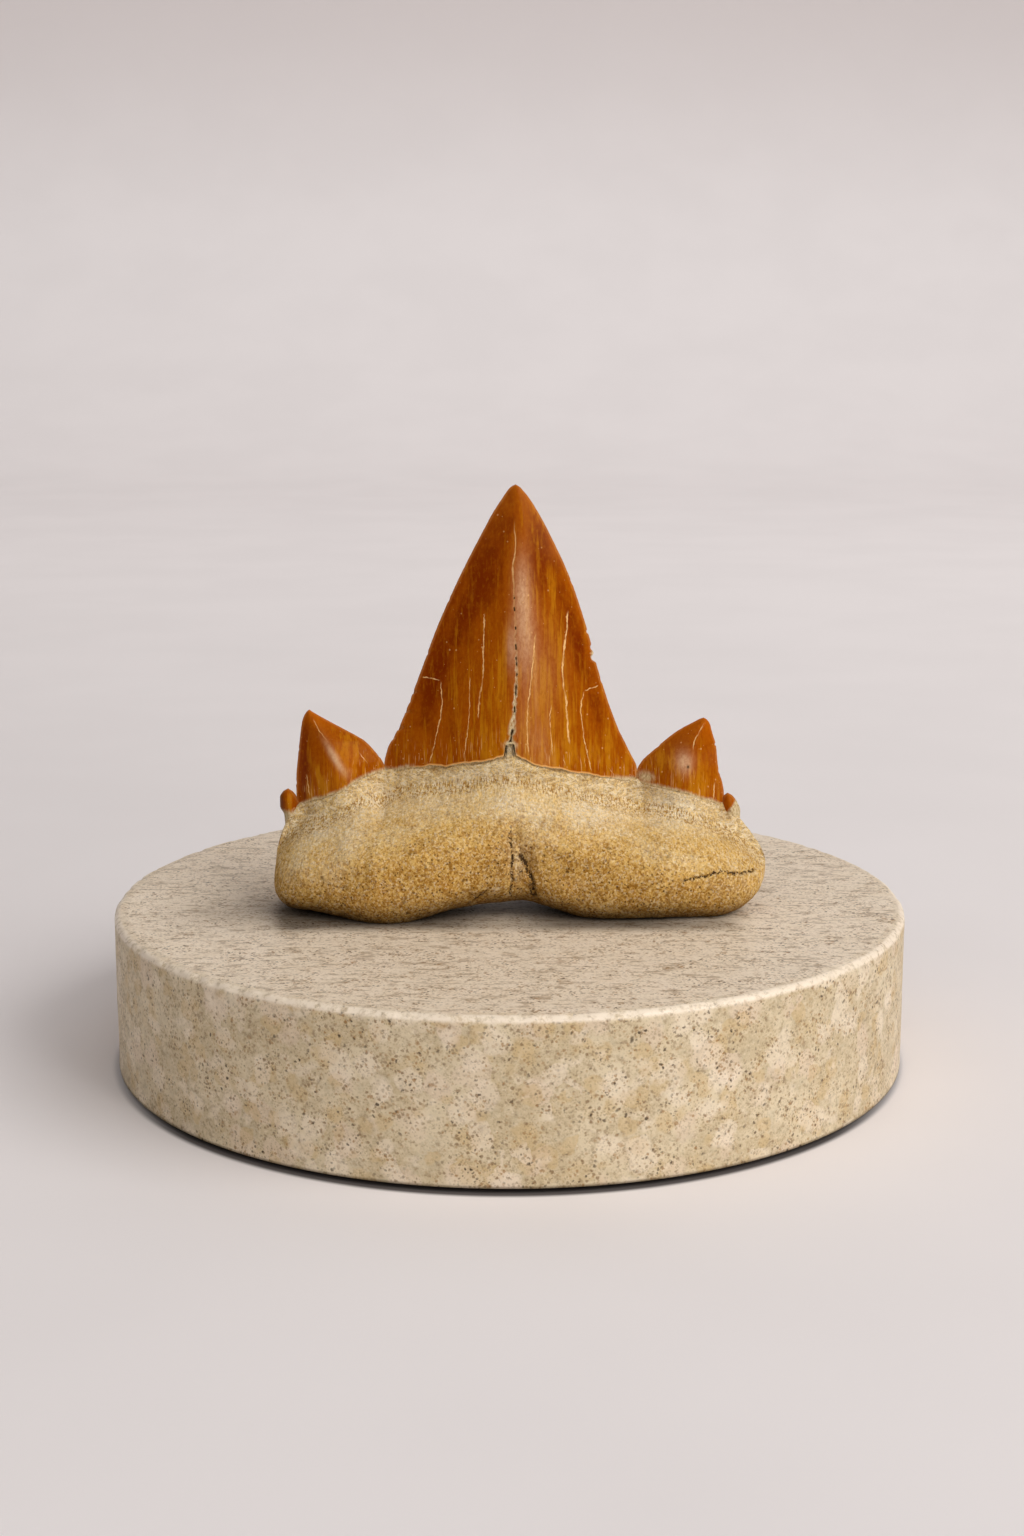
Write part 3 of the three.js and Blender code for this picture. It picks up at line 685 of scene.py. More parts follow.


# Amber enamel: deep red-brown and gold laid over each other in upright streaks, orange
# where it is thin, painted as light shining through it, finely dappled, with a painted pale
# sheen, a pale rim painted as a highlight, hairlines, cracks and specks, and the root's chalky
# tone where "pale" and "fill" say so.
def enamelMaterial():
    paint = Painter("amberEnamel", enamelShades, "amber")
    edge, rise = paint.attribute("edge"), paint.attribute("rise")
    broad = paint.noise((3.0, 6.0, 15.0), detail=3, rough=0.5, warp=0.4)
    streak = paint.noise((0.6, 2.0, 9.0), detail=3, rough=0.6, shift=(3, 0, 1))
    fine = paint.noise((0.17, 0.6, 3.2), detail=2, rough=0.6, shift=(9, 2, 5))
    cloud = paint.noise((1.5, 1.5, 2.2), detail=4, rough=0.65, shift=(1, 5, 2))
    deepness = paint.attribute("deep") + broad.step(0.35, 0.7, -0.25, 0.3)
    deepness = deepness + cloud.step(0.35, 0.65, -0.14, 0.14)
    goldness = paint.attribute("gold") + streak.step(0.36, 0.66, -0.4, 0.4)
    goldness = goldness + fine.step(0.35, 0.65, -0.14, 0.14) + cloud.step(0.4, 0.7, -0.08, 0.1)
    paint.over("deep", deepness.step(0.0, 1.0))
    paint.over("gold", goldness.step(0.15, 1.1))
    # painted light: orange where the enamel is thin, as light shining through it, a painted highlight along
    # the cutting edges, and the painted glow zones
    paint.over("orange", edge.step(1.3, 0.0), 0.25)
    paint.over("lip", edge.step(0.42, 0.1, 0.0, 0.2))
    paint.over("orange", paint.attribute("glow"))
    dapple = paint.noise((0.35, 0.35, 0.6), detail=3, rough=0.65, shift=(2, 2, 7))
    paint.over("gold", dapple.step(0.5, 0.7, 0.0, 0.22))
    paint.over("deep", dapple.step(0.5, 0.3, 0.0, 0.28))
    # painted sheen, dappled
    paint.over("bloom", paint.attribute("bloom"), dapple.step(0.3, 0.66, 0.7, 1.2))

    waver = paint.noise((0.5, 0.5, 0.7), detail=2) * 0.36 - 0.18
    strength = paint.noise((0.6, 0.6, 1.4), detail=3, shift=(4, 4, 4)).step(0.34, 0.6, 0.24, 1.0)
    lines = paint.cracks(waver, mainCracks + cuspletCracks, acrossCracks, 0.2)
    lines = lines * strength * paint.attribute("isFront")
    hair = paint.noise((0.13, 1.0, 2.2), detail=1, shift=(7, 7, 7)).step(0.62, 0.7)
    paint.over("cream", hair, rise.step(4.5, 0.6, 0.0, 0.42))
    paint.over("cream", lines)
    # painted highlight along the enamel's pale lower rim
    paint.over("lip", paint.attribute("lip"))

    # specks, closer together near the foot of the cutting edges
    crowd = edge.step(2.4, 0.6) * rise.step(6.0, 3.0, 0.0, 0.3)
    for size, least, shift in ((0.8, 0.88, (0, 0, 0)), (0.42, 0.92, (5, 2, 9))):
        distance, chance = paint.grains(size, shift)
        paint.over("cream", (chance + crowd).step(least, least + 0.04), distance.step(0.2, 0.1, 0.0, 0.42))

    mottle = paint.noise((0.26, 0.26, 0.45), detail=3, rough=0.65)
    fray = paint.noise((0.2, 0.5, 1.6), detail=2, rough=0.6, shift=(6, 1, 1))
    paleness = (paint.attribute("pale") + fray.step(0.3, 0.7, -0.08, 0.08)).step(0.15, 1.0)
    chalk = paint.ramp(mottle, (0.34, "chalkLow"), (0.52, "chalk"), (0.7, "chalkHigh"))
    paint.over(chalk, paleness)
    _, height = paint.flatPlace()
    fill = paint.attribute("fill") * mottle.step(0.28, 0.5, 0.35, 1.0)
    paint.over(paint.blend(height.step(30.0, 38.0), chalk, enamelShades["cream"]), fill)
    paint.over("hollow", paint.attribute("pit"))
    return paint.finish({
        "Roughness": paleness.most(fill) * 0.45 + cloud.step(0.3, 0.7, 0.11, 0.18),
        "Normal": paint.bump(lines, -0.03, 0.6, paint.bump(fine, 0.008, 0.6)),
        "Subsurface Weight": 0.04, "Subsurface Radius": (1.0, 0.4, 0.1), "Subsurface Scale": 1.0 * millimetre,
        "Specular IOR Level": 0.07, "Specular Tint": (1.0, 0.72, 0.32, 1.0),
    })


# How far each kind of colour reaches over a cusp, for every point of the mesh: the cusp's
# own zones, and what follows its edges or slants. pale is where the enamel gives way to
# the root's tone.
def enamelZones(cusp, x, height, side, paint):
    rise, edge, isFront = (paint[key] for key in ("rise", "edge", "isFront"))
    zones = {key: bells(x, height, cusp["zones"].get(key, [])) + 0 * height
             for key in ("deep", "gold", "glow", "bloom", "pale", "fill", "pit")}
    # lip: the painted highlight along the enamel's pale lower rim
    zones["lip"] = cusp["lip"] * easedStep(0.3, 0.1, rise) * isFront
    if cusp is mainCusp:
        form = forms[cusp["name"]]
        fromLeft, fromRight = x - form.left(height), form.right(height) - x
        zones["deep"] += bells(fromLeft, height, [(0.78, 2.4, 2.1, 36, 11)])
        zones["deep"] += bells(fromRight, height, [(0.7, 1.7, 1.3, 33, 8)])
        zones["deep"] += 0.6 * easedStep(1.3, 0.4, fromLeft) * bell(height, 35, 13)
        zones["gold"] += bells(x + 0.11 * (height - 31.6), height, [(0.6, 6.3, 0.7, 36, 7)])
        zones["gold"] += 0.2 * easedStep(0.9, 0.3, fromRight) + 0.3 * easedStep(5.5, 0.5, rise)
        chip = bell(height, 31.3, 0.75) * easedStep(0.55, 0.1, edge) * (side > 0)
        corner = np.clip(easedStep(-10.0, -14.0, x) + easedStep(11.0, 14.5, x), 0, 1)
        zones["lip"] *= 1 - corner
        zones["pale"] = np.maximum(easedStep(0.1, 0.0, rise), chip)
        zones["pale"] = np.maximum(zones["pale"], easedStep(1.1, -0.1, rise) * corner)
        zones["fill"], zones["pit"] = paint["fill"], paint["pit"]
    elif cusp is leftCusplet:
        zones["gold"] += bells(x + 0.32 * (height - 17), height, [(1.5, -24.1, 0.55, 16.4, 2.2)])
        zones["gold"] += 0.45 * easedStep(4.5, 0, rise)
        zones["glow"] += 0.4 * easedStep(21.5, 24, height)
        zones["bloom"] += bells(x - 0.6 * (19.2 - height), height, [(0.85, -22.0, 0.5, 18.7, 1.8)])
        zones["pale"] = easedStep(0.9, -0.2, rise)
    elif cusp is rightCusplet:
        zones["gold"] += 0.4 * easedStep(4.0, 0, rise)
        zones["glow"] += 0.45 * easedStep(20, 23, height)
        zones["pale"] = np.maximum(easedStep(0.9, -0.2, rise), zones["pale"])
        zones["pit"] *= isFront
    elif cusp is leftNub:
        zones["deep"] = 0.6 - 0.5 * bell(x, -27.7, 0.45)
        zones["gold"] = 1.3 * bell(x, -27.7, 0.35) * easedStep(14.2, 13.4, height)
        zones["pit"] = 0.5 * easedStep(-28.2, -28.9, x) * isFront
        zones["pale"] = easedStep(12.4, 11.0, height)
    else:
        zones["pale"] = easedStep(-0.2, 0.45, (x - 28.1) * 0.78 - (height - 12.7) * 0.62)
    return {**zones, "rise": rise, "edge": edge, "isFront": isFront}


enamel = enamelMaterial()
for cusp in cusps:
    firstPole, grid, lastPole, paint, x, height, side = cuspGrid(cusp)
    zones = enamelZones(cusp, x, height, side, paint)
    addPiece(cusp["name"], firstPole, grid, lastPole, zones, enamel, "tooth")


# Root.

root = {
    "left": -29.3, "right": 32.0,
    "leftEnd": {"start": -24.6, "bluntness": 2.8, "height": 4.6, "depth": -5.6},
    "rightEnd": {"start": 25.4, "bluntness": 2.3, "height": 6.1, "depth": -5.4},
    "underside": [[-29.3, 0.1], [-25, 0.55], [-21, 0.45], [-18.5, -0.1], [-15.5, -0.7], [-12, -0.35],
                  [-8.7, 0.7], [-5, 1.45], [0, 1.7], [4, 1.45], [6.5, 0.75], [9, -0.1], [12.5, -0.6],
                  [20, -0.5], [26, -0.3], [32, 0.2]],
    "bulge": [[-29.3, -10.6], [-24, -12.8], [-15.5, -15.4], [-8, -14.3], [-3, -13.1], [1, -12.7],
              [7, -13.4], [14, -13.9], [22, -12.9], [28, -11.4], [32, -10.4]],
    "back": [[-29.3, -0.2], [-24, 0.9], [-15, 2.1], [-6, 1.9], [0, 1.5], [6, 1.9], [15, 2.1], [24, 0.9],
             [32, -0.4]],
    "frontLine": [[-29.3, 10.4], [-26.9, 11.9], [-25.1, 12.95], [-23.1, 13.7], [-21.2, 14.55],
                  [-19.3, 15.6], [-17.5, 16.3], [-15.8, 16.0], [-14.6, 16.75], [-12.5, 17.3],
                  [-7.4, 18.1], [-2.4, 19.05], [-1.0, 19.35], [0.1, 19.55], [1.0, 19.45],
                  [2.5, 18.95], [6.2, 17.7], [11.3, 16.45],
                  [15.9, 15.2], [18.2, 15.0], [20.0, 14.8], [22.5, 14.2], [24.5, 13.4], [27.1, 11.9],
                  [29.2, 10.6], [32, 8.2]],
    "backLine": [[-29.3, 9.6], [-26.5, 11.0], [-21, 11.6], [-17.5, 13.6], [-15.8, 15.4], [-14, 14.4],
                 [-8, 13.9], [0, 12.6], [8, 13.7], [14, 14.2], [15.9, 15.2], [18, 13.6], [21.5, 11.8],
                 [27, 11.4], [32, 7.6]],
    # Shares of the way up to the enamel, and out from the band under it to the bulge.
    "swelling": [[0.1, 0.93], [0.28, 1.0], [0.5, 0.94], [0.68, 0.62]],
    "ledge": [[0.84, 0.14], [1.0, 0.0]],
    "backFace": [[0.66, 0.85], [0.4, 1.0]],
    "sole": {"fromFront": 3.2, "fromBack": 2.8, "turnIn": 0.5, "turnUp": 1.9},
    "thinnest": {"front": 0.8, "back": 0.7},
    "topRise": (0.6, 2.4),
    "softening": 2.4, "bandSoftening": 3.6,
    # A stem of the root stands up in the enamel's notch, drawn out of the band's top.
    "stem": {"x": 0.0, "inner": 0.4, "outer": 0.66, "height": 1.5, "from": 0.35, "front": -3.4},
    "capRings": 60, "middleRings": 340,
    # Columns on each stretch of the section, from the middle of the sole up the front.
    "stretchColumns": (8, 12, 14, 24, 30, 28, 24, 22, 7, 7, 14, 12, 8, 8),
}

groove = {"top": 14.5, "run": 11, "x": 0, "drift": 1.4, "width": (0.8, 1.9), "depth": (0.06, 0.75)}
reliefFade = {"start": 2, "run": 4, "onSole": 0.2}
pits = [
    {"x": 2.2, "z": 7.4, "halfX": 0.7, "halfZ": 1.5, "depth": 0.6},
    {"x": 24.5, "z": 7.0, "halfX": 3.6, "halfZ": 0.55, "depth": 0.35},
    {"x": -4.2, "z": 3.1, "halfX": 1.6, "halfZ": 0.7, "depth": 0.35},
    {"x": 16.3, "z": 14.4, "halfX": 0.8, "halfZ": 1.1, "depth": 0.5},
    {"x": -16.0, "z": 15.0, "halfX": 0.7, "halfZ": 1.4, "depth": 0.5},
]


# How far the enamel of any cusp stands off the blade plane at a place on its lower line.
def enamelDepth(x, height, face):
    depth = np.zeros_like(x)
    for form in forms.values():
        side = form.side(height, x)
        within = np.abs(side) < 1
        stands = getattr(form, face)(height, np.where(within, side, 0))
        depth = np.where(within, np.maximum(depth, stands), depth)
    return depth


# The front of the band under the enamel: where the enamel stands, less its lip, and never
# less than the thinnest.
def bandFace(x):
    cover = enamelDepth(x, curves["frontLine"](x), "front")
    lip = mix(*enamelLip, easedStep(9, 13.5, np.abs(x)))
    return bladePlane - np.maximum(cover - lip, root["thinnest"]["front"])


curves = {key: softened(curveThrough(root[key]), root["softening"]) for key in ("underside", "bulge", "back")}
curves["frontLine"] = curveThrough(root["frontLine"])
curves["backLine"] = curveThrough(root["backLine"])
curves["softLine"] = softened(curves["frontLine"], root["softening"])
curves["softBand"] = softened(bandFace, root["bandSoftening"])


# The points [y, height] that every section runs through: along the sole, up the bulging
# front to the enamel, over the hidden top and down the back. One row for each x.
def sectionPoints(x):
    under, bulge, back = (curves[key](x) for key in ("underside", "bulge", "back"))
    line, backLine = curves["frontLine"](x), curves["backLine"](x)
    softLine, softBand = curves["softLine"](x), curves["softBand"](x)
    band = bandFace(x)
    coverBack = enamelDepth(x, backLine, "back")
    backBand = bladePlane + np.maximum(coverBack - enamelLip[0], root["thinnest"]["back"])
    shallow, deep = root["topRise"]
    cover = np.clip(enamelDepth(x, line, "front") / mainCusp["frontBase"], 0, 1)
    sole = root["sole"]
    points = [((bulge + back) / 2, under), (bulge + sole["fromFront"], under)]
    points += [(mix(softBand, bulge, out), mix(under, softLine, up)) for up, out in root["swelling"]]
    points += [(mix(band, bulge, out), mix(under, line, up)) for up, out in root["ledge"]]
    points += [(bladePlane + 0 * x, line + mix(shallow, deep, cover)), (backBand, backLine)]
    points += [(mix(backBand, back, out), mix(under, backLine, up)) for up, out in root["backFace"]]
    points += [(back - sole["turnIn"], under + sole["turnUp"]), (back - sole["fromBack"], under)]
    return np.stack([np.stack(point, -1) for point in points], 1)


# Weights that carry the section's points to places on a closed curve through them: each
# piece is a cubic whose slope at a point is half the step between its two neighbours.
def closedCurveWeights(count, places):
    weights = np.zeros((len(places), count))
    i = np.floor(places).astype(int)
    t = places - i
    row = np.arange(len(places))
    shares = (
        (-t + 2 * t ** 2 - t ** 3) / 2,
        (2 - 5 * t ** 2 + 3 * t ** 3) / 2,
        (t + 4 * t ** 2 - 3 * t ** 3) / 2,
        (-t ** 2 + t ** 3) / 2,
    )
    for step, share in enumerate(shares):
        np.add.at(weights, (row, (i + step - 1) % count), share)
    return weights


# The groove and pits of the root's front, each a bell-shaped hollow.
def frontRelief(x, height):
    down = np.clip((groove["top"] - height) / groove["run"], 0, 1)
    across = (x - groove["x"] - groove["drift"] * down) / mix(*groove["width"], down)
    opening = easedStep(-1, 2, groove["top"] - height)
    cut = opening * mix(*groove["depth"], down) * np.exp(-across * across)
    for pit in pits:
        cut = cut + pit["depth"] * bell(x, pit["x"], pit["halfX"]) * bell(height, pit["z"], pit["halfZ"])
    return cut


# Furrows of the root's cracks: [x, height] paths, half width, depth and how broken up they are.
rootCracks = [
    {"path": [[20.9, 5.3], [22.1, 5.5], [24.2, 5.6], [25.0, 6.0], [26.4, 6.0], [27.1, 5.7], [28.6, 5.5],
              [29.8, 5.5], [30.6, 5.6]], "width": 0.13, "depth": 0.2, "breaks": 0.4},
    {"path": [[1.2, 9.2], [1.7, 8.4], [1.85, 7.6], [2.3, 6.9], [2.45, 5.9], [2.85, 4.9], [2.9, 3.8],
              [3.2, 2.6]], "width": 0.22, "depth": 0.4, "breaks": 0.35},
    {"path": [[0.2, 9.2], [0.45, 7.9], [0.15, 6.6], [0.35, 5.2], [0.0, 3.8]], "width": 0.16, "depth": 0.25,
     "breaks": 0.42},
    {"path": [[-5.2, 2.0], [-4.2, 2.8], [-3.2, 3.6], [-2.6, 4.2]], "width": 0.18, "depth": 0.25,
     "breaks": 0.4},
]


# The root's shell: two parameters, along the tooth and round the section. The ends are
# superellipses: the way along goes as a power of the sine and the way closed of the cosine.
def rootGrid():
    turn = np.pi / 2 * np.arange(1, root["capRings"]) / root["capRings"]

    def cap(end, tipX):
        power = 2 / end["bluntness"]
        return mix(end["start"], tipX, np.sin(turn) ** power), np.cos(turn) ** power

    leftX, leftOpen = cap(root["leftEnd"], root["left"])
    rightX, rightOpen = cap(root["rightEnd"], root["right"])
    middleX = np.linspace(root["leftEnd"]["start"], root["rightEnd"]["start"], root["middleRings"])
    x = np.concatenate([leftX[::-1], middleX, rightX])
    opened = np.concatenate([leftOpen[::-1], np.ones_like(middleX), rightOpen])[:, None]
    isLeft = np.arange(len(x))[:, None] < len(leftX)
    closeHeight, closeDepth = (np.where(isLeft, root["leftEnd"][key], root["rightEnd"][key])
                               for key in ("height", "depth"))
    places = np.concatenate([k + np.arange(n) / n for k, n in enumerate(root["stretchColumns"])])[::-1]
    points = sectionPoints(x)
    outline = np.einsum("cp,npk->nck", closedCurveWeights(points.shape[1], places), points)
    y = mix(closeDepth, outline[..., 0], opened)
    height = mix(closeHeight, outline[..., 1], opened)
    along = np.repeat(x[:, None], len(places), 1)
    frontness = np.clip((bladePlane - reliefFade["start"] - y) / reliefFade["run"], 0, 1)
    cut = frontRelief(along, height) * frontness * opened
    y = y + cut
    height = np.maximum(height + reliefFade["onSole"] * cut, 0)
    stem = root["stem"]
    lift = easedStep(stem["outer"], stem["inner"], np.abs(along - stem["x"]))
    lift = lift * easedStep(stem["from"], 0, curves["frontLine"](along) - height)
    lift = lift * easedStep(stem["front"], stem["front"] - 1, y)
    return along, y, height + stem["height"] * lift, opened * np.ones_like(y), frontness


# Whitish patches: amount, x, half width, level, half height. The level is how far under
# the enamel's line in the first table, and the height in the second. The patches near
# x = -20 and x = 20 also stand in for light: they lighten faces below the cusplets that
# turn from it, as painted light.
whiteUnder = [
    (1, 9.2, 2.6, 4.4, 1.6), (0.8, -0.8, 2.4, 5.2, 1.4), (0.9, 3.2, 2.6, 6.0, 2.2),
    (0.8, -19.8, 2.4, 5.6, 1.6), (0.9, -17.0, 2.6, 2.6, 1.2), (0.9, 20, 3.2, 2.6, 1.6),
    (0.9, -23.6, 2.2, 3.3, 1.0), (0.5, -0.3, 0.8, 3.5, 3.5), (0.5, 12.5, 3, 3.4, 1.6),
    (0.5, -9.5, 3.5, 3.6, 1.4), (0.6, -5, 3.4, 1.7, 1.0), (0.7, 20.5, 3, 0.9, 0.9),
    (0.6, -26.0, 1.6, 6.0, 1.6), (0.5, -21.5, 2.0, 8.0, 1.4),
]
whiteHeights = [(0.6, 1.2, 1.8, 9.0, 1.8), (0.7, 1.0, 0.8, 6.6, 1.6)]

# The folds that the band under the enamel ends in, below the cusplets.
folds = [
    [[-27.6, 9.9], [-25.6, 11.4], [-21.97, 12.2], [-21.09, 12.9], [-18.09, 13.9], [-15.97, 14.8]],
    [[15.9, 13.9], [18.31, 13.9], [21.19, 13.3], [23.93, 12.5], [26.82, 11.1], [29.22, 9.6]],
]


# How deep each feature lies in the root, and how dark it is painted.
cutDepth = {"seam": 0.14, "step": 0.05, "fold": 0.08, "chunks": 0.4, "pocks": 0.12}
darkness = {"seam": 0.7, "fold": 0.16, "furrow": 0.32, "chunks": 0.26, "pocks": 0.5}


# What grows on that shell, outward in millimetres: lumps of four sizes, grains, upright
# fibres, a seam and a step in the band under the enamel, the folds, the cracks' furrows,
# broken chunks and pocks. With it go the paint's numbers: how far under the enamel a place
# is, its darkness, hollowness, staining, ground tone, whiteness and nearness to the foot,
# where painted shade lies.
def rootRelief(x, y, height, opened, frontness):
    place = np.stack([x, y, height], -1)
    isFront = y < bladePlane
    line = np.where(isFront, curves["frontLine"](x), curves["backLine"](x))
    under = line - height
    shown = easedStep(-0.5, 0.6, under)
    low = easedStep(3.5, 7.0, under)
    coarse = lumpSum(place, (0.24, 6.5, 41), (0.14, 2.8, 42))
    small = lumpSum(place, (0.045, 1.25, 43), (0.04, 0.6, 44))
    grain = 0.5 - grainDistance(place, 0.5, 45)
    fibre = lumpSum(place, (1, (0.42, 0.8, 3.4), 46), (0.5, (0.24, 0.6, 2.2), 47))
    relief = coarse * mix(0.35, 1, low) + small * mix(0.4, 1, low)
    relief = relief + grain * mix(0.015, 0.075, low) + fibre * mix(0.05, 0.01, low)
    seam = bell(under, 0.1, 0.14) * easedStep(-0.4, 0.4, lumps(place, (1.1, 1.1, 9.0), 49))
    seam = seam * easedStep(13, 9, np.abs(x))
    relief = relief - cutDepth["seam"] * seam - cutDepth["step"] * easedStep(3.4, 2.7, under)
    fold = bell(np.minimum(*(lineDistance(x, height, path) for path in folds)), 0, 0.32) * isFront
    relief = relief - cutDepth["fold"] * fold
    dark = darkness["fold"] * fold * easedStep(-0.2, 0.5, lumps(place, 1.2, 50)) + darkness["seam"] * seam
    swayX = x + lumpSum(place, (0.16, 0.7, 51), (0.08, 0.3, 52))
    swayHeight = height + lumpSum(place, (0.16, 0.7, 53), (0.08, 0.3, 54))
    chance = lumps(place, 0.85, 55)
    for crack in rootCracks:
        away = lineDistance(swayX, swayHeight, crack["path"])
        broken = mix(1, easedStep(-0.35, 0.15, chance), crack["breaks"] / 0.45)
        furrow = bell(away, 0, crack["width"]) * broken * frontness
        relief = relief - crack["depth"] * furrow
        dark = dark + darkness["furrow"] * furrow
    crumbling = bells(x, height, [(1, 1.5, 1.8, 4.8, 2.2)]) * frontness
    chunks = grainDistance(place + 0.2 * lumps(place, 0.5, 70)[..., None], 0.9, 71)
    relief = relief + cutDepth["chunks"] * crumbling * (0.45 - chunks)
    dark = dark + darkness["chunks"] * crumbling * easedStep(0.5, 0.72, chunks)
    pocks = easedStep(0.28, 0.1, grainDistance(place, 1.5, 56)) * low
    pocks = pocks * (lumps(place, 1.9, 57) > 0.1 - 0.8 * crumbling)
    relief = relief - cutDepth["pocks"] * pocks
    dark = (dark + darkness["pocks"] * pocks) * shown
    hollow = np.clip(-(small + 0.05 * grain) / 0.08, -1, 1)
    # ochre staining: the middle groove's line, the broken ground round its crack, the arch's lip
    stain = 0.95 * bell(x + 0.15 * lumps(place, 1.5, 58), 0.05, 0.34) * bell(height, 10.6, 2.8)
    stain = stain + 0.3 * bell(x, 1.4, 2.0) * easedStep(8.0, 5.5, height)
    stain = stain + 0.85 * bell(x, 0, 6.5) * easedStep(3.1, 2.3, height)
    stain = np.clip(stain, 0, 1) * mix(0.6, 1, easedStep(-0.4, 0.4, lumps(place, 0.9, 59))) * frontness
    # painted shade on both sides of the stem and a dash across its head
    stem = root["stem"]
    fromStem = np.abs(x - stem["x"])
    atStem = 0.85 * bell(fromStem, stem["inner"] + 0.08, 0.12) * easedStep(0.15, -0.15, under)
    atStem += 0.8 * bell(x, stem["x"], 0.45) * bell(height, curves["frontLine"](x) + stem["height"], 0.12)
    atStem += 0.5 * easedStep(stem["outer"], stem["inner"], fromStem) * easedStep(0.3, -0.3, under)
    dark = dark + isFront * atStem * mix(0.5, 1, easedStep(-0.5, 0.3, chance))
    white = bells(x, under, whiteUnder) + bells(x, height, whiteHeights)
    bits = easedStep(0.1, 0.5, lumps(place, 0.7, 60))
    white = white + bells(x, height, [(0.8, -1.0, 1.2, 3.9, 1.3)]) * bits
    # the ground tone is that of a deeper level at both ends, and of a higher one where it is white
    shift = 7.3 * easedStep(23, 29.0, x) + 4.4 * easedStep(-25.0, -28.5, x) - 1.8 * white + 0.2
    tone = under + shift * easedStep(1.2, 3.2, under)
    # painted shade near the foot, where the root meets the stone
    foot = easedStep(4.6, 0.0, height - np.maximum(curves["underside"](x), 0))
    paint = {"under": under, "dark": np.clip(dark, 0, 1), "hollow": hollow, "stain": stain, "tone": tone,
             "white": white, "foot": foot, "isFront": frontness}
    return relief * shown * opened ** 0.25, paint


rootShades = palette(
    grey=(206, 182, 140), greyWhite=(226, 206, 164), white=(240, 221, 180), sand=(220, 180, 106),
    tan=(200, 151, 70), ochre=(170, 120, 44), earth=(144, 98, 32), brown=(96, 64, 24), rust=(186, 120, 34),
    dark=(56, 38, 20), dust=(178, 132, 58), umber=(142, 108, 62), straw=(232, 194, 118),
    chalk=(246, 234, 206), shade=(50, 32, 14),
)

# Painted cracks in the root, each a half width and its [x, height] stations: upright ones
# and ones that run across.
rootUpright = [
    (0.62, [[1.0, 9.0], [1.35, 8.4], [1.75, 7.5], [2.2, 6.8], [2.4, 5.9], [2.75, 4.9], [2.85, 3.8],
            [3.3, 2.5]]),
    (0.22, [[0.15, 12.2], [0.05, 10.6], [0.2, 9.2], [0.4, 7.9], [0.15, 6.6], [0.35, 5.2], [0.05, 3.8],
            [0.2, 2.8]]),
    (0.2, [[-15.75, 16.6], [-15.8, 16.0], [-15.4, 15.1], [-15.6, 14.3]]),
    (0.2, [[16.0, 15.9], [16.2, 15.1], [16.7, 14.3], [17.0, 13.3]]),
]
rootAcross = [
    (0.3, rootCracks[0]["path"]),
    (0.16, [[-5.4, 1.9], [-4.2, 2.8], [-3.2, 3.6], [-2.4, 4.3]]),
    (0.12, [[0.3, 6.4], [1.4, 6.1], [2.3, 6.5]]),
]
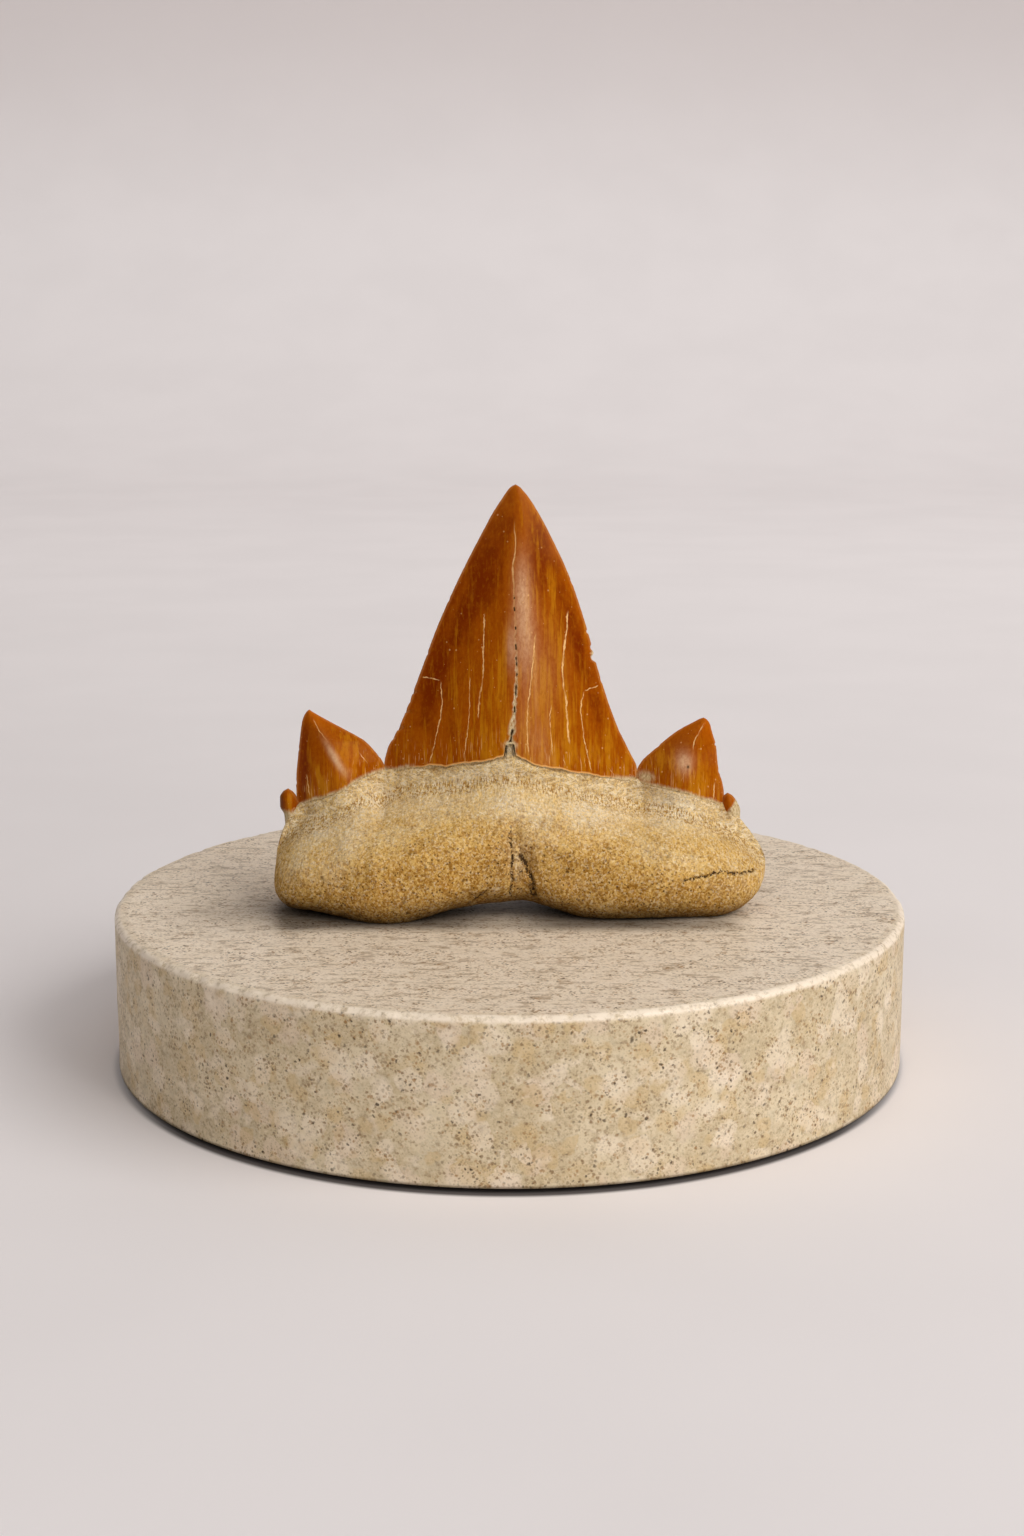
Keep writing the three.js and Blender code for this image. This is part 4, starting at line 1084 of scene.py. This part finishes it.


# Fossil bone. Under the enamel a flaky band of grey, white and umber, then fibres and
# whitish patches, then sand and ochre grains to the foot, which is darkest and painted with
# shade; squiggles of straw and brown run through the grains, and dark cracks, holes and
# stains lie on top.
def rootMaterial():
    paint = Painter("fossilRoot", rootShades, "grey")
    under = paint.attribute("under")
    patches = paint.noise((4.5, 4.5, 3.6), detail=3, rough=0.55)
    rusty = paint.noise((3.2, 3.2, 2.6), detail=4, rough=0.6, shift=(4, 9, 2))
    drift = patches.step(0.34, 0.66, -2.6, 2.6) * under.step(2.4, 5.0, 0.08, 1.0)
    paint.shade = paint.ramp(
        (paint.attribute("tone") + drift) * (1 / 18), (0.02, "grey"), (0.1, "grey"), (0.15, "greyWhite"),
        (0.23, "white"), (0.34, "sand"), (0.46, "tan"), (0.58, "ochre"), (0.76, "earth"))
    stains = rusty.step(0.5, 0.7) * under.step(2.5, 6.0, 0.0, 0.7)
    paint.over("rust", stains.most(paint.attribute("stain")))
    fibre = paint.noise((0.22, 0.5, 2.6), detail=3, rough=0.65)
    paint.over(paint.ramp(fibre, (0.34, "umber"), (0.43, "tan"), (0.5, "sand"), (0.56, "white"),
                          (0.66, "chalk")), under.step(11.0, 4.5), under.step(1.5, 3.2, 0.1, 0.62))

    # the band: flakes that lie along it, with brown between them
    flake = paint.noise((1.5, 1.5, 0.6), detail=4, rough=0.62, warp=0.5, shift=(3, 7, 5))
    inBand = under.step(3.6, 2.4)
    paint.over(paint.ramp(flake, (0.36, "umber"), (0.43, "grey"), (0.48, "greyWhite"), (0.53, "chalk"),
                          (0.6, "grey"), (0.68, "umber")), inBand, 0.82)
    paint.over("chalk", paint.attribute("white"), fibre.step(0.34, 0.54, 0.2, 1.1))
    paint.over("brown", abs(flake - 0.47).step(0.02, 0.006, 0.0, 0.78), inBand)
    grit = paint.noise((0.5, 0.5, 0.35), detail=3, rough=0.7, shift=(8, 3, 1))
    paint.over("umber", grit.step(0.5, 0.68), under.step(1.6, 0.4, 0.0, 0.5))
    tick = paint.noise((0.17, 0.4, 1.1), detail=1, shift=(2, 6, 4))
    paint.over("earth", tick.step(0.5, 0.58, 0.0, 0.95), under.step(1.5, 2.1), under.step(3.7, 3.0))

    # the grains below it
    grain, grainChance = paint.grains(0.36, ragged=0.5)
    dust, dustChance = paint.grains(0.22, (3, 3, 3))
    coarse, coarseChance = paint.grains(0.42, (7, 3, 5), ragged=0.6)
    paint.over(paint.ramp(grainChance, (0.0, "brown"), (0.2, "ochre"), (0.62, "tan"), (0.92, "straw")),
               under.step(2.0, 9.0, 0.12, 0.5))
    paint.over(paint.ramp(dustChance, (0.0, "earth"), (0.34, "dust"), (0.7, "sand"), (0.97, "chalk")),
               under.step(1.0, 8.0, 0.2, 0.36))
    offMiddle = abs(paint.noise((0.5, 0.5, 0.5), detail=1.5, rough=0.5, warp=0.6, shift=(6, 8, 3)) - 0.5)
    paint.over("straw", offMiddle.step(0.05, 0.015), under.step(2.5, 12.0, 0.6, 0.42))
    paint.over("earth", offMiddle.step(0.08, 0.16), under.step(2.5, 12.0, 0.15, 0.65))
    holes = coarse.step(0.4, 0.16) * coarseChance.step(0.6, 0.68) * under.step(4.0, 11.0, 0.14, 0.85)
    paint.over("brown", holes)
    paint.over("brown", paint.attribute("hollow").step(0.0, 1.0, 0.0, 0.22))
    paint.over("white", paint.attribute("hollow").step(0.0, -1.0, 0.0, 0.1))

    crumbs = paint.noise((0.3, 0.3, 0.3), detail=2, shift=(1, 2, 8)).step(0.3, 0.6, 0.55, 1.1)
    paint.over("dark", (paint.attribute("dark") * crumbs).step(0.08, 0.85, 0.0, 0.9))
    waver = paint.noise((0.45, 0.45, 0.45), detail=3, rough=0.7, shift=(5, 5, 5)) * 0.8 - 0.4
    bits = paint.noise((0.4, 0.4, 0.4), detail=2, rough=0.6, shift=(3, 9, 9)).step(0.42, 0.52, 0.08, 1.0)
    lines = paint.cracks(waver, rootUpright, rootAcross, 0.6) * bits * paint.attribute("isFront")
    paint.over("brown", lines, 0.72)
    paint.over("dark", lines.step(0.55, 1.0, 0.0, 0.85))
    # painted shade along the foot, where the root meets the stone
    paint.over("shade", paint.attribute("foot") ** 1.5, 0.58)
    surface = paint.bump(paint.math("SUBTRACT", 0.8, grain), 0.05, 0.6)
    surface = paint.bump(dust, -0.025, 0.4, surface)
    surface = paint.bump(holes + lines, -0.1, 0.7, surface)
    surface = paint.bump(fibre + flake, 0.035, 0.5, surface)
    return paint.finish({
        "Roughness": grainChance.step(0.0, 1.0, 0.92, 0.7), "Normal": surface, "Specular IOR Level": 0.1,
    })


x, y, height, opened, frontness = rootGrid()
relief, paint = rootRelief(x, y, height, opened, frontness)
grid = np.stack([x, y, slab["thickness"] + height], -1)
grid = grid + gridNormals(grid) * relief[..., None]
grid[..., 2] = np.maximum(grid[..., 2], slab["thickness"])
poles = [(root[side], root[side + "End"]["depth"], slab["thickness"] + root[side + "End"]["height"])
         for side in ("left", "right")]
addPiece("root", poles[0], grid, poles[1], paint, rootMaterial(), "tooth")


# The stone disc.

stoneShades = palette(
    beige=(203, 183, 147), pale=(222, 204, 171), ochre=(204, 172, 116), grey=(190, 177, 148),
    brown=(132, 102, 66), dark=(72, 54, 32), rust=(160, 114, 56), white=(246, 229, 206),
    pink=(228, 205, 180), shade=(40, 23, 8),
)


# The disc is turned: a profile of radius and height carried round the upright axis, with
# rounded arrises. Relief on it: slow waves, a worn top edge and pits in the wall. With it
# go the paint's numbers: pits, the top, the arris, and painted shade by the tooth and at the
# foot.
def slabGrid():
    radius, thickness = slab["radius"], slab["thickness"]
    topRound, footRound, footInset = slab["topRound"], slab["footRound"], slab["footInset"]
    bend = np.linspace(0, np.pi / 2, slab["roundRings"])
    footSlope = np.linspace(0, 1, slab["footSteps"])
    inner = np.linspace(1.2, radius - footInset, slab["footRings"], endpoint=False)
    wall = np.linspace(footRound, thickness - topRound, slab["wallRings"])[1:-1]
    top = np.linspace(radius - topRound, 0.6, slab["topRings"])[1:]
    r = np.concatenate([
        inner, radius - footInset + footInset * footSlope,
        np.full(len(wall), radius), radius - topRound + topRound * np.cos(bend), top,
    ])
    z = np.concatenate([
        np.zeros(len(inner)), footRound * footSlope,
        wall, thickness - topRound + topRound * np.sin(bend), np.full(len(top), thickness),
    ])
    angle = 2 * np.pi * np.arange(slab["columns"]) / slab["columns"]
    r, z, angle = r[:, None], z[:, None], angle[None, :]
    x, y = r * np.cos(angle), r * np.sin(angle)
    grid = np.stack([x, y, z + 0 * angle], -1)
    onArris = bell(r, radius, 0.8) * bell(z, thickness, 0.7)
    onWall = easedStep(0.6, 1.6, z) * easedStep(radius - 1.5, radius - 0.2, r)
    onTop = easedStep(thickness - 0.2, thickness, z)
    waves = 0.5 + 0.5 * lumps(grid, 4.5, 61)
    fine = 0.5 + 0.5 * lumps(grid, 1.3, 62)
    worn = easedStep(0.1, 0.7, lumps(grid, 2.2, 63)) + 0.6 * easedStep(0.15, 0.7, lumps(grid, 0.9, 64))
    ragged = grid + 0.35 * np.stack([lumps(grid, 0.8, seed) for seed in (67, 68, 69)], -1)
    pit = easedStep(0.16, 0.05, grainDistance(ragged, 3.2, 65)) * (lumps(grid, 3.2, 66) > 0.15)
    cut = onArris * slab["wear"] * worn + onTop * slab["topDepth"] * waves
    cut = cut + onWall * (slab["waveDepth"] * waves + slab["fineDepth"] * fine + slab["pitDepth"] * pit)
    contactShade = slab["contactShade"]
    beyond = np.hypot(np.maximum(np.abs(x - contactShade["x"]) - contactShade["halfX"], 0),
                      np.maximum(np.abs(y - contactShade["y"]) - contactShade["halfY"], 0))
    # painted shadow: weaker to the right and under the arch, and drawn out to the left as the
    # tooth's cast shadow
    shade = easedStep(contactShade["reach"], 0.0, beyond) ** contactShade["fall"] * mix(1, 0.6, easedStep(14, 26, x))
    shade = shade * (1 - 0.45 * bell(x, -1, 5))
    shade = shade + 0.66 * bell(y, -8, 8) * easedStep(-50, -27, x) * easedStep(-22, -27, x)
    # painted shade on the lowest millimetre of the wall, where the disc meets the floor
    atFoot = easedStep(1.0, 0.3, z) * easedStep(radius - 3, radius - 2, r)
    attributes = {
        "pit": pit * onWall, "onTop": onTop * easedStep(radius - 0.2, radius - 1.8, r) + 0 * angle,
        "arris": onArris + 0 * angle, "shade": np.maximum(np.clip(shade, 0, 1) * onTop, atFoot),
    }
    return grid - gridNormals(grid) * cut[..., None], attributes


# Pebbles in the stone: size, shift, tone, share. Specks: size, least chance, softness,
# tone, strength, shift.
pebbles = [(4.2, (2, 4, 6), "pink", 0.5), (2.4, (9, 1, 5), "ochre", 0.42), (3.2, (5, 5, 2), "white", 0.4)]
specks = [
    (0.24, 0.5, 0.6, "brown", 0.35, (5, 7, 1)), (0.46, 0.7, 0.54, "brown", 0.7, (1, 1, 1)),
    (0.42, 0.78, 0.52, "rust", 0.6, (4, 2, 7)), (0.55, 0.88, 0.42, "dark", 0.85, (6, 3, 2)),
    (0.38, 0.86, 0.48, "dark", 0.65, (8, 8, 3)), (1.1, 0.9, 0.34, "rust", 0.6, (3, 5, 6)),
]


# Fine-grained beige stone: pale, grey, ochre and brown mottling, soft pebbles, specks in six
# sizes, a streakier top painted paler as light from above, dark pits, a whitish worn arris
# painted paler still as its highlight, and painted shade by the tooth and at the foot.
def stoneMaterial():
    paint = Painter("beigeStone", stoneShades, "beige")
    onTop, arris, shaded = (paint.attribute(name) for name in ("onTop", "arris", "shade"))
    mottle = paint.noise((6.0, 6.0, 5.0), detail=5, rough=0.65, warp=0.3)
    patches = paint.noise((3.0, 3.0, 2.6), detail=4, rough=0.62, shift=(5, 1, 3))
    cloudy = paint.noise((0.9, 0.9, 0.8), detail=4, rough=0.7, shift=(2, 8, 1))
    paint.over("pale", mottle.step(0.38, 0.64))
    paint.over("ochre", patches.step(0.5, 0.72, 0.0, 0.38))
    paint.over("grey", patches.step(0.46, 0.28, 0.0, 0.45))
    paint.over("brown", cloudy.step(0.48, 0.32, 0.0, 0.5))
    paint.over("pale", cloudy.step(0.52, 0.64, 0.0, 0.66))
    for size, shift, tone, share in pebbles:
        distance, chance = paint.grains(size, shift, ragged=0.7)
        paint.over(tone, distance.step(0.6, 0.4, 0.0, share), chance.step(0.62, 0.68))
    bright = paint.noise((3.6, 3.6, 3.0), detail=3, rough=0.6, shift=(7, 2, 9))
    paint.over("white", bright.step(0.56, 0.68, 0.0, 0.4))
    streak = paint.noise((2.1, 0.75, 0.7), detail=3, rough=0.65, shift=(9, 4, 4))
    # painted light: the top made paler, as lit from above
    paint.over("white", onTop, 0.78)
    paint.over("brown", streak.step(0.48, 0.34, 0.0, 0.55), onTop)
    paint.over("white", streak.step(0.5, 0.64, 0.0, 0.6), onTop)
    cluster = patches.step(0.36, 0.62, 0.35, 1.1)
    for size, least, soft, tone, strength, shift in specks:
        distance, chance = paint.grains(size, shift, ragged=0.8)
        paint.over(tone, distance.step(soft, soft * 0.5), chance.step(least, least + 0.06), strength, cluster)
    paint.over("dark", paint.attribute("pit").step(0.2, 0.8, 0.0, 0.75))
    # the arris, worn whitish and painted paler as its highlight
    paint.over("white", arris.step(0.08, 0.6), cloudy.step(0.36, 0.56, 0.35, 1.0))
    # painted shadow by the tooth's feet and at the disc's foot
    paint.over("shade", shaded, 0.82)
    distance, chance = paint.grains(0.4, (2, 2, 2))
    grainBump = paint.bump(distance.step(0.45, 0.1) * chance.step(0.6, 0.8), -0.05, 0.5)
    return paint.finish({
        "Roughness": arris * -0.16 + cloudy.step(0.3, 0.7, 0.56, 0.42),
        "Normal": paint.bump(cloudy, 0.04, 0.5, grainBump), "Specular IOR Level": shaded * -0.42 + 0.42,
    })


grid, attributes = slabGrid()
addPiece("stone_slab", (0, 0, 0), grid, (0, 0, slab["thickness"]), attributes, stoneMaterial(),
         "stone_disc")


# Floor, light and camera.

studio = {
    "wallDistance": 900, "sweep": 500, "halfWidth": 3000, "front": -2500, "wallHeight": 2600,
    "bendRows": 40, "aimHeight": 25, "ringShift": (0.2, 0.45, 0),
}
paperShades = palette(floor=(241, 235, 234), faint=(230, 224, 223), high=(222, 213, 211), shade=(40, 23, 8))

# name: azimuth, elevation, distance, size, power, tint
softboxes = {
    "keySoftbox": (60, 38, 1200, (1000, 700), 8.3, (1.0, 0.985, 0.97)),
    "sheenSoftbox": (33, 10, 800, (150, 130), 0.95, (1.0, 0.98, 0.96)),
    "backSoftbox": (150, 50, 1200, (700, 700), 1.0, (1.0, 1.0, 1.0)),
}
wallPanel = {
    "location": (0, 350, 800), "tilt": 70, "size": (1400, 300), "power": 1.9, "tint": (1.0, 0.99, 0.985),
}
air = {"tint": (1.0, 0.985, 0.98), "strength": 0.95, "seenStrength": 0.7}
viewpoint = {
    "position": (0.299, -274.887, 93.575), "target": (0.2991, 0, 36.6413),
    "lens": 51.91, "filmHeight": 36, "clip": (0.01, 50),
}


# Pale paper: faint clouds, a painted ring of shadow where the disc stands, and painted
# shade high up the wall.
def paperMaterial():
    paint = Painter("palePaper", paperShades, "floor")
    paint.over("faint", paint.noise((60, 60, 60), detail=2).step(0.3, 0.7, 0.0, 0.25))
    flat = paint.vector("MULTIPLY_ADD", paint.place, (1 / millimetre, 1 / millimetre, 0), studio["ringShift"])
    reach = Value(paint, paint.vector("LENGTH", flat.outputs[0]).outputs["Value"])
    x, _, z = paint.axes(paint.place)
    paint.over("shade", reach.step(slab["radius"] + 0.75, slab["radius"] - 0.2, 0.0, 0.88),
               abs(x).step(0.036, 0.05, 1.0, 0.3))
    # painted shade high up the wall
    paint.over("high", z.step(0.12, 0.34, 0.0, 0.9))
    weave = paint.noise((2.2, 1.0, 1.0), detail=2)
    return paint.finish({"Roughness": 0.9, "Normal": paint.bump(weave, 0.05, 0.2), "Specular IOR Level": 0.1})


# The floor runs back and turns up into a wall along a quarter circle.
def addBackdrop():
    bend = np.linspace(0, np.pi / 2, studio["bendRows"])
    y = np.concatenate([[studio["front"]], studio["wallDistance"] + studio["sweep"] * np.sin(bend),
                        [studio["wallDistance"] + studio["sweep"]]])
    z = np.concatenate([[0], studio["sweep"] * (1 - np.cos(bend)), [studio["wallHeight"]]])
    points = [(side * studio["halfWidth"], *spot) for spot in zip(y, z) for side in (-1, 1)]
    faces = [(2 * row, 2 * row + 1, 2 * row + 3, 2 * row + 2) for row in range(len(y) - 1)]
    mesh = bpy.data.meshes.new("backdrop")
    mesh.from_pydata((np.array(points) * millimetre).tolist(), [], faces)
    mesh.polygons.foreach_set("use_smooth", np.ones(len(faces), bool))
    mesh.materials.append(paperMaterial())
    backdrop = bpy.data.objects.new("backdrop", mesh)
    bpy.context.scene.collection.objects.link(backdrop)


# A rectangular light of that size, power and tint, placed in millimetres and turned.
def addPanel(name, location, turned, size, power, tint):
    light = bpy.data.lights.new(name, "AREA")
    light.shape = "RECTANGLE"
    light.size, light.size_y = (length * millimetre for length in size)
    light.energy = power
    light.color = tint
    panel = bpy.data.objects.new(name, light)
    panel.location = np.asarray(location) * millimetre
    panel.rotation_euler = turned
    bpy.context.scene.collection.objects.link(panel)


# A rectangular softbox: it stands at its distance from the tooth and faces it. Azimuth
# counts from straight in front, towards the right.
def addSoftbox(name, azimuth, elevation, distance, size, power, tint):
    turn, tilt = math.radians(azimuth), math.radians(elevation)
    direction = np.array([math.sin(turn) * math.cos(tilt), -math.cos(turn) * math.cos(tilt), math.sin(tilt)])
    location = direction * distance + np.array([0, 0, studio["aimHeight"]])
    addPanel(name, location, (math.pi / 2 - tilt, 0, turn), size, power, tint)


# The air of the studio: a pale half dome over the front, dark near the horizon, but pale
# all round for the camera. Its strength rises with the height of a direction and with how
# far it points to the front.
def addDome():
    world = bpy.data.worlds.new("studioAir")
    world.use_nodes = True
    nodes = Nodes(world.node_tree)
    _, along, up = nodes.axes(nodes.node("ShaderNodeTexCoord").outputs["Generated"])
    strength = up.step(0.25, 0.6, 0.0, air["strength"]) * along.step(0.3, -0.5)
    seen = Value(nodes, nodes.node("ShaderNodeLightPath").outputs["Is Camera Ray"]) * air["seenStrength"]
    background = nodes.tree.nodes["Background"]
    nodes.put(background.inputs["Color"], (*air["tint"], 1))
    nodes.put(background.inputs["Strength"], strength.most(seen))
    bpy.context.scene.world = world


# The camera stands level in front of the tooth and looks a little down at it.
def addCamera():
    camera = bpy.data.cameras.new("camera")
    camera.sensor_fit = "VERTICAL"
    camera.sensor_height = viewpoint["filmHeight"]
    camera.lens = viewpoint["lens"]
    camera.clip_start, camera.clip_end = viewpoint["clip"]
    view = bpy.data.objects.new("camera", camera)
    position, target = np.array(viewpoint["position"]), np.array(viewpoint["target"])
    toward = target - position
    pitch = math.atan2(toward[2], math.hypot(toward[0], toward[1]))
    view.location = position * millimetre
    view.rotation_euler = (math.pi / 2 + pitch, 0, math.atan2(-toward[0], toward[1]))
    bpy.context.scene.collection.objects.link(view)
    bpy.context.scene.camera = view


addBackdrop()
for name, box in softboxes.items():
    addSoftbox(name, *box)
addPanel("wallPanel", wallPanel["location"], (math.radians(wallPanel["tilt"]), 0, 0), wallPanel["size"],
         wallPanel["power"], wallPanel["tint"])
addDome()
addCamera()
settings = bpy.context.scene.view_settings
settings.view_transform = "Standard"
settings.look = "None"
print("studio ready")
